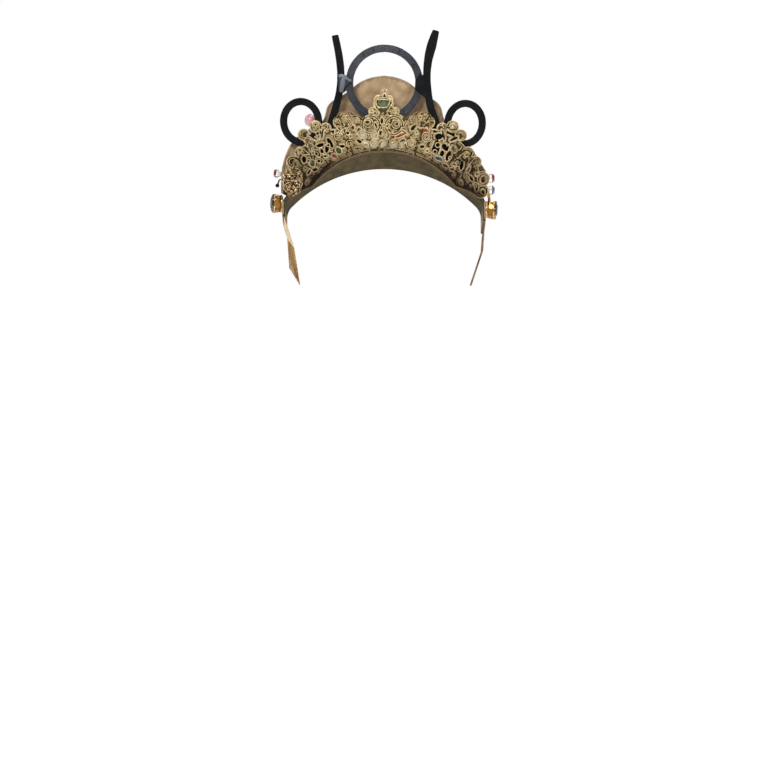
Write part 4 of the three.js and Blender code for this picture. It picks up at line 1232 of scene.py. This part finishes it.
finialLines = (  # x, z along the cords that frame the stone
    ((-3.9, 48.6), (-6.2, 48.6), (-8.2, 46.2), (-8.7, 42.4), (-8.1, 39.2), (-6.8, 36.8), (-5, 35)),
    ((3.7, 48.4), (6, 48.1), (7.7, 45.4), (7.3, 42.2), (6, 39.6), (4.4, 37.2), (3.2, 35)),
    ((-5.9, 45.9), (-6.8, 43.6), (-7, 41.6), (-5.8, 39.2), (-4, 37.6)),
    ((5.4, 45.6), (5.3, 44), (4.4, 41.6), (3.1, 39.2), (1.6, 37.6)),
    ((-6, 46), (-2, 46.6), (2, 46.5), (5.6, 45.7)),
    ((-5.6, 44.8), (0, 45.2), (5, 44.4)),
    ((-4.9, 38.6), (-1.4, 38), (2.3, 38.5)),
    ((-0.2, 51), (-0.5, 49.2), (-1.6, 47)),
    ((1.4, 51), (1.5, 49.2), (2.2, 47)),
)


def makeFinialStone():
    r = finial["girdle"]
    bm = stoneHull((
        (0.55 * r, -2.3, 8, 0.5), (0.86 * r, -1.5, 8, 0.5), (0.98 * r, -0.4, 16, 0), (0.98 * r, 0.7, 16, 0),
        (0.6 * r, 2.5, 8, 0.5)))
    bm = placed(bm, finial["x"], finial["z"])
    stonePiece("finialStone", bm, 77, "stoneGreen", "crystal_green", "finial_stone")
    routes = [  # the eyelet at the top, and a spiral on each side
        ringRoute(0.6, -2.9, 52.4, 1.7, 2, 0, 10),
        curlRoute(-10.6, -2.9, 35.2, 3.1, 1.2, 0.62, 0.058, 15),
        curlRoute(8.6, -2.9, 35, 3, 1.9, -0.62, 0.058, 15)]
    for line in finialLines:
        routes.append((smoothRoute([place(x, finial["cordY"], z) for x, z in line], False), False))
    lacePiece("finialCords", routes, finial["cord"], 2, 1, "laceCord")


makeStones()
makeFinialStone()
print("stones made")


# filigree ball: curls of gold wire over a dark core, a painted shade for its hollow inside

ball = {
    "x": -79, "z": -27, "seat": -3.1, "half": (9, 9, 13), "curls": 40, "wire": 0.33, "coreInset": 1.3,
    "hoops": (0.0, 0.42, -0.42), "reach": 0.97, "ripple": 0.02, "turn": 2.39996, "rearFrom": -0.06,
    "curlRadius": (0.18, 0.25), "curlPoints": 11, "curlTurn": 0.85, "curlShrink": 0.07,
}


def ballPoint(x, y, z, inset=0.0):
    halfX, halfY, halfZ = (half - inset for half in ball["half"])
    return place(ball["x"] + x * halfX, ball["seat"] + y * halfY, ball["z"] + z * halfZ)


def makeBall():
    routes = []
    dice = random.Random(5)
    for i in range(2 * ball["curls"]):
        up = 1 - 2 * (i + 0.5) / (2 * ball["curls"])
        a = i * ball["turn"]
        side = math.sqrt(1 - up * up)
        out = Vector((side * math.cos(a), side * math.sin(a), up))
        if out.y > ball["rearFrom"]:
            continue
        east = out.cross(Vector((0, 0, 1))).normalized()
        north = east.cross(out)
        radius = dice.uniform(*ball["curlRadius"])
        start = dice.uniform(0, 6.3)
        points = []
        for k in range(ball["curlPoints"]):
            b = start + ball["curlTurn"] * k
            r = radius * (1 - ball["curlShrink"] * k)
            spot = (out + (east * math.cos(b) + north * math.sin(b)) * r).normalized()
            lift = ball["reach"] + ball["ripple"] * (k % 2)
            points.append(ballPoint(spot.x * lift, min(0, spot.y) * lift, spot.z * lift))
        routes.append((points, False))
    for rise in ball["hoops"]:
        flat = math.sqrt(1 - rise * rise) * ball["reach"]
        turns = spread(math.pi, 2 * math.pi, 12)
        routes.append(([ballPoint(flat * math.cos(b), flat * math.sin(b), rise) for b in turns], False))
    cordPiece("filigreeCurls", routes, ball["wire"], 2, 1, "filigreeGold", "gilt_metal", "filigree_ball")
    # the dark core is a painted shade seen between the curls
    bm = bmesh.new()
    bmesh.ops.create_uvsphere(bm, u_segments=28, v_segments=18, radius=1)
    bmesh.ops.bisect_plane(bm, geom=wholeOf(bm), plane_co=(0, 0, 0), plane_no=(0, 1, 0), clear_outer=True)
    bmesh.ops.holes_fill(bm, edges=[e for e in bm.edges if e.is_boundary], sides=0)
    for vert in bm.verts:
        vert.co = ballPoint(*vert.co, ball["coreInset"])
    bmesh.ops.recalc_face_normals(bm, faces=bm.faces)
    addPiece("filigreeCore", meshOf("filigreeCore", bm), "filigreeCore", "gilt_metal")


makeBall()
print("filigree ball made")


# side studs, rim crystals, bead and pin

studs = {  # side, height of the seat, direction, finish: a painted shade on the left stud's gilt, a painted light on the right's
    "left": (-1, -45.6, (-0.98, -0.19, 0.02), "giltDeep"),
    "right": (1, -50.6, (0.99, -0.13, -0.06), "giltBright"),
}
studCut = {
    "sides": 14, "claws": 7, "wire": 0.36, "rings": ((7.6, 1.1), (8.2, 7.5)),  # radius, y
    "profile": (
        (0.0, 0.0), (7.0, 0.0), (7.5, 0.5), (7.6, 1.6), (7.3, 2.2), (7.9, 3.2), (8.0, 6.4), (8.2, 7.0),
        (8.2, 7.9), (7.9, 8.4), (7.0, 8.4), (6.8, 6.4), (6.6, 5.5), (0.0, 5.5)),
    "stone": (
        (4.4, 5.8, 10, 0), (6.2, 7.4, 20, 0), (6.35, 8.4, 20, 0), (5.6, 9.3, 10, 0.5), (4.2, 9.95, 10, 0)),
    "clawPath": ((8.1, 6), (8.3, 7.2), (8.1, 8.4), (7.2, 8.9), (6.2, 9.1)),
}
studPost = {  # on the right stud alone
    "along": 3, "shift": (0, -1.5, 7), "way": (-0.12, -0.3, 1), "sides": 16,
    "profile": ((0, -1), (1.5, -1), (1.5, 0.2), (1.2, 0.7), (1.15, 7.6), (1.5, 8.2), (1.3, 8.8), (0, 8.8)),
}


def turnedShape(profile, steps):
    bm = bmesh.new()
    verts = [bm.verts.new((r, y, 0)) for r, y in profile]
    edges = [bm.edges.new(pair) for pair in zip(verts, verts[1:])]
    bmesh.ops.spin(
        bm, geom=verts + edges, cent=(0, 0, 0), axis=(0, 1, 0), angle=2 * math.pi, steps=steps,
        use_merge=True)
    bmesh.ops.remove_doubles(bm, verts=bm.verts, dist=1e-4)
    bmesh.ops.recalc_face_normals(bm, faces=bm.faces)
    return bm


def standing(bm, seat, out):
    turn = Vector((0, 1, 0)).rotation_difference(out).to_matrix().to_4x4()
    bmesh.ops.transform(bm, matrix=Matrix.Translation(seat) @ turn @ Matrix.Scale(mm, 4), verts=bm.verts)
    return bm


def standingRoute(points, seat, out):
    turn = Vector((0, 1, 0)).rotation_difference(out).to_matrix()
    return [seat + turn @ (Vector(point) * mm) for point in points]


def clawRoutes(count, path, seat, out):
    routes = []
    for i in range(count):
        a = 2 * math.pi * i / count
        points = [(r * math.cos(a), y, r * math.sin(a)) for r, y in path]
        routes.append((standingRoute(points, seat, out), False))
    return routes


def makeStuds():
    claws = []
    for side, (sign, height, way, finish) in studs.items():
        out = Vector(way).normalized()
        seat = bandPoint(90 * sign, 0.4, band["thickness"]) + Vector((0.4 * sign * mm, 0, 0))
        seat.z = height * mm
        cup = standing(turnedShape(studCut["profile"], studCut["sides"]), seat, out)
        addPiece("stud" + side, meshOf("stud" + side, cup, 18), finish, "gilt_metal", "stud_" + side)
        stone = standing(stoneHull(studCut["stone"]), seat, out)
        stonePiece("studStone" + side, stone, sign, "stoneSmoke", "crystal_smoke", "stud_stone_" + side)
        claws += clawRoutes(studCut["claws"], studCut["clawPath"], seat, out)
        for radius, y in studCut["rings"]:
            turns = [math.pi * k / 12 for k in range(24)]
            points = [(radius * math.cos(a), y, radius * math.sin(a)) for a in turns]
            claws.append((standingRoute(points, seat, out), True))
        if side == "right":
            root = seat + out * studPost["along"] * mm + Vector(studPost["shift"]) * mm
            post = turnedShape(studPost["profile"], studPost["sides"])
            post = standing(post, root, Vector(studPost["way"]).normalized())
            addPiece("studPost", meshOf("studPost", post), finish, "gilt_metal")
    cordPiece("studClaws", claws, studCut["wire"], 2, 1, "filigreeGold", "gilt_metal")


rimPieces = {  # angle, finish, slot
    "side_crystal_left": (-57.5, "stoneWine", "crystal_red"),
    "side_crystal_right_upper": (59.5, "stoneWine", "crystal_red"),
    "side_crystal_right_lower": (64.5, "stoneDusk", "crystal_blue"),
}
rimCut = {
    "lift": 0.35, "claws": 5, "wire": 0.26,
    "cup": ((1.4, 0, 10, 0), (2.9, 1.2, 10, 0.5), (3.75, 2.6, 10, 0), (3.9, 4.3, 10, 0)),
    "stone": ((3.8, 4.35, 16, 0), (3.9, 4.9, 16, 0), (3.3, 5.9, 8, 0.5), (2.4, 6.75, 8, 0)),
    "clawPath": ((1.4, 0.2), (2.4, 1.7), (3.9, 3.1), (4, 4.6), (3.2, 5.8)),
}


def makeRimPieces():
    claws = []
    for node, (angle, finish, slot) in rimPieces.items():
        name = node.replace("_", "")
        out = rimNormal(angle)
        seat = rimPoint(angle) + out * rimCut["lift"] * mm
        stonePiece(name + "Cup", standing(stoneHull(rimCut["cup"]), seat, out), angle, "stoneClear", slot)
        stonePiece(name, standing(stoneHull(rimCut["stone"]), seat, out), angle + 1, finish, slot, node)
        claws += clawRoutes(rimCut["claws"], rimCut["clawPath"], seat, out)
    cordPiece("rimClaws", claws, rimCut["wire"], 2, 1, "giltMetal", "gilt_metal")


pin = {
    "angle": -60, "way": (-0.32, 0, -0.95), "wire": 0.55, "sides": 20,
    "profile": (
        (0, -0.6), (0.6, -0.6), (0.65, 2.9), (1.2, 3.6), (1.7, 4.3), (1.7, 5.2), (1.2, 6), (0.6, 6.3),
        (0, 6.3)),
    "hook": ((0.8, 0, 0.4), (-1, 0, 0.3), (-2, 0, 0), (-2.2, 0, -0.6)),  # from the rim to the neck
}


def makePin():
    foot = rimPoint(pin["angle"])
    hook = [foot + Vector(step) * mm for step in pin["hook"]]
    mesh = cordMesh("edgePinHook", [(hook, False)], pin["wire"], 3, 1)
    addPiece("edgePinHook", unmarked(mesh), "ribbonBlack", "black_ribbon")
    bm = standing(turnedShape(pin["profile"], pin["sides"]), hook[-1], Vector(pin["way"]))
    addPiece("edgePin", unmarked(meshOf("edgePin", bm)), "ribbonBlack", "black_ribbon", "edge_pin_left")


bead = {"angle": -31.5, "radius": 5.7, "lift": 0.35}


def makeBead():
    radius = bead["radius"] * mm
    middle = rimPoint(bead["angle"]) + rimNormal(bead["angle"]) * (radius + bead["lift"] * mm)
    bm = bmesh.new()
    bmesh.ops.create_icosphere(bm, subdivisions=4, radius=radius * 0.99, matrix=Matrix.Translation(middle))
    mesh = meshOf("pinkBead", bm)
    # painted shading: the bead is painted darker at the top and paler at the bottom
    shade = mesh.attributes.new("facetToneAndShading", "FLOAT", "POINT")
    for cell, vert in zip(shade.data, mesh.vertices):
        cell.value = 0.5 - 0.5 * (vert.co - middle).z / radius
    addPiece("pinkBead", mesh, "beadPink", "pink_bead", "pink_bead")


makeStuds()
makeRimPieces()
makePin()
makeBead()
print("studs and rim pieces made")


# combs: a bound heading and wire teeth

comb = {
    "width": 36, "teeth": 9, "toothWidth": 1.5, "depth": 11, "drop": 0.6, "heading": (0.03, 0.97), "tape": 0.5,
    "stops": (0.05, 0.4, 0.8, 0.93, 1.0, 1.07, 1.2, 1.5, 1.8, 1.985),  # along a tooth, with its knee at 1
}
combs = {  # top x, end of the band, then knee and tip as x, z and their shifts across the comb
    "left": {
        "top": -86.4, "end": -99.5, "knee": (-81, -79.6, -0.19, 0.3), "tip": (-77.5, -109.4, -0.29, 0.45),
        "wire": 0.4},
    "right": {
        "top": 86.4, "end": 103.5, "knee": (85, -87, 0.02, 0), "tip": (75.2, -116.5, 0.02, 0), "wire": 0.8},
}


def combSpot(row, across, down):
    y = comb["depth"] + bowAt(row["top"]) + across
    rear = bandPoint(row["end"], 0, band["thickness"])
    front = bandPoint(row["end"], 1, band["thickness"])
    share = within(0, (y * mm - rear.y) / (front.y - rear.y), 1)
    top = Vector((row["top"], mix(rear.z, front.z, share) / mm - comb["drop"]))
    bends = (row["knee"], row["tip"])
    knee, tip = (Vector((x + moveX * across, z + moveZ * across)) for x, z, moveX, moveZ in bends)
    spot = top.lerp(knee, down) if down <= 1 else knee.lerp(tip, down - 1)
    return Vector((spot.x, y, spot.y)) * mm


def makeComb(side, row):
    half = comb["width"] / 2
    pitch = (comb["width"] - comb["toothWidth"]) / (comb["teeth"] - 1)
    routes = []
    for i in range(comb["teeth"]):
        across = -half + comb["toothWidth"] / 2 + i * pitch
        routes.append(([combSpot(row, across, stop) for stop in comb["stops"]], False))
    for down in comb["heading"]:
        routes.append(([combSpot(row, across, down) for across in spread(-half + 0.4, half - 0.4, 16)], False))
    cordPiece("combWires" + side, routes, row["wire"], 3, 2, "combMetal", "gilt_metal", "comb_" + side)
    bm = bmesh.new()
    bmesh.ops.create_grid(bm, x_segments=24, y_segments=10, size=1)
    tuckShade = bm.verts.layers.float.new("rim")
    end = bandPoint(row["end"], 0, band["thickness"]).z
    for vert in bm.verts:
        vert.co = combSpot(row, vert.co.x * (half - 0.3), mix(*comb["heading"], (1 - vert.co.y) / 2))
        # painted shade: the tape is painted darker where it runs up under the band's end
        vert[tuckShade] = within(0.0, (vert.co.z - end) / (2 * mm) + 1, 1.0)
    thicken(bm, comb["tape"])
    meshPiece("combHeading" + side, bm, "combTape", "gilt_metal")


for combSide, combRow in combs.items():
    makeComb(combSide, combRow)
print("combs made")


# floor, light and camera

stage = {
    "floorZ": -0.56, "floorRadius": 1.5, "cameraY": -2.2, "cameraZ": -0.202, "lens": 118.6, "sensor": 36,
    "sky": 0.42, "white": (1, 1, 1, 1),
    "lights": {  # place, aim, power, size
        "keyLight": ((-0.8, -1.7, 1.1), (0, 0, 0.02), 26, 0.4),
        "fillLight": ((1.2, -1.5, 0.4), (0, 0, 0), 8, 0.8),
        "topLight": ((0.1, -0.3, 1.6), (0, 0, 0), 10, 0.6),
        "rimLight": ((0.3, 1.4, 0.9), (0, 0, 0), 8, 0.8),
    },
}


def makeStage():
    bm = bmesh.new()
    bmesh.ops.create_circle(bm, cap_ends=True, segments=64, radius=stage["floorRadius"])
    bmesh.ops.translate(bm, verts=bm.verts, vec=(0, 0, stage["floorZ"]))
    floor = addObject("floor", meshOf("floor", bm))
    pale, tree, shader = newFinish("paleFloor")
    fill(tree, shader, {
        "Base Color": rampOf(tree, noiseOf(tree, 3, 2), ((0.3, "#f8f8f8"), (0.7, "#fdfdfd"))),
        "Roughness": 0.9, "Emission Color": stage["white"], "Emission Strength": 0.75})
    floor.data.materials.append(pale)
    sky = bpy.data.worlds.new("sky")
    sky.use_nodes = True
    tree = sky.node_tree
    soft = fill(tree, tree.nodes["Background"], {"Color": stage["white"], "Strength": stage["sky"]})
    plain = addNode(tree, "Background", {"Color": stage["white"]})
    path = addNode(tree, "LightPath").outputs
    # the backdrop is white where the camera sees it, and through glass
    seen = mathOf(tree, "MAXIMUM", path["Is Camera Ray"], path["Is Transmission Ray"])
    blend = addNode(tree, "MixShader", {0: seen, 1: soft.outputs[0], 2: plain.outputs[0]})
    tree.links.new(blend.outputs[0], tree.nodes["World Output"].inputs["Surface"])
    scene.world = sky
    for name, (spot, aim, power, size) in stage["lights"].items():
        light = bpy.data.lights.new(name, "AREA")
        light.energy = power
        light.size = size
        lamp = addObject(name, light)
        lamp.location = spot
        lamp.rotation_euler = (Vector(aim) - Vector(spot)).to_track_quat("-Z", "Y").to_euler()
    lens = bpy.data.cameras.new("photoCamera")
    lens.lens = stage["lens"]
    lens.sensor_width = stage["sensor"]
    camera = addObject("photoCamera", lens)
    camera.location = (0, stage["cameraY"], stage["cameraZ"])
    camera.rotation_euler = (math.pi / 2, 0, 0)
    scene.camera = camera
    scene.view_settings.view_transform = "Standard"
    print("stage made")


makeStage()
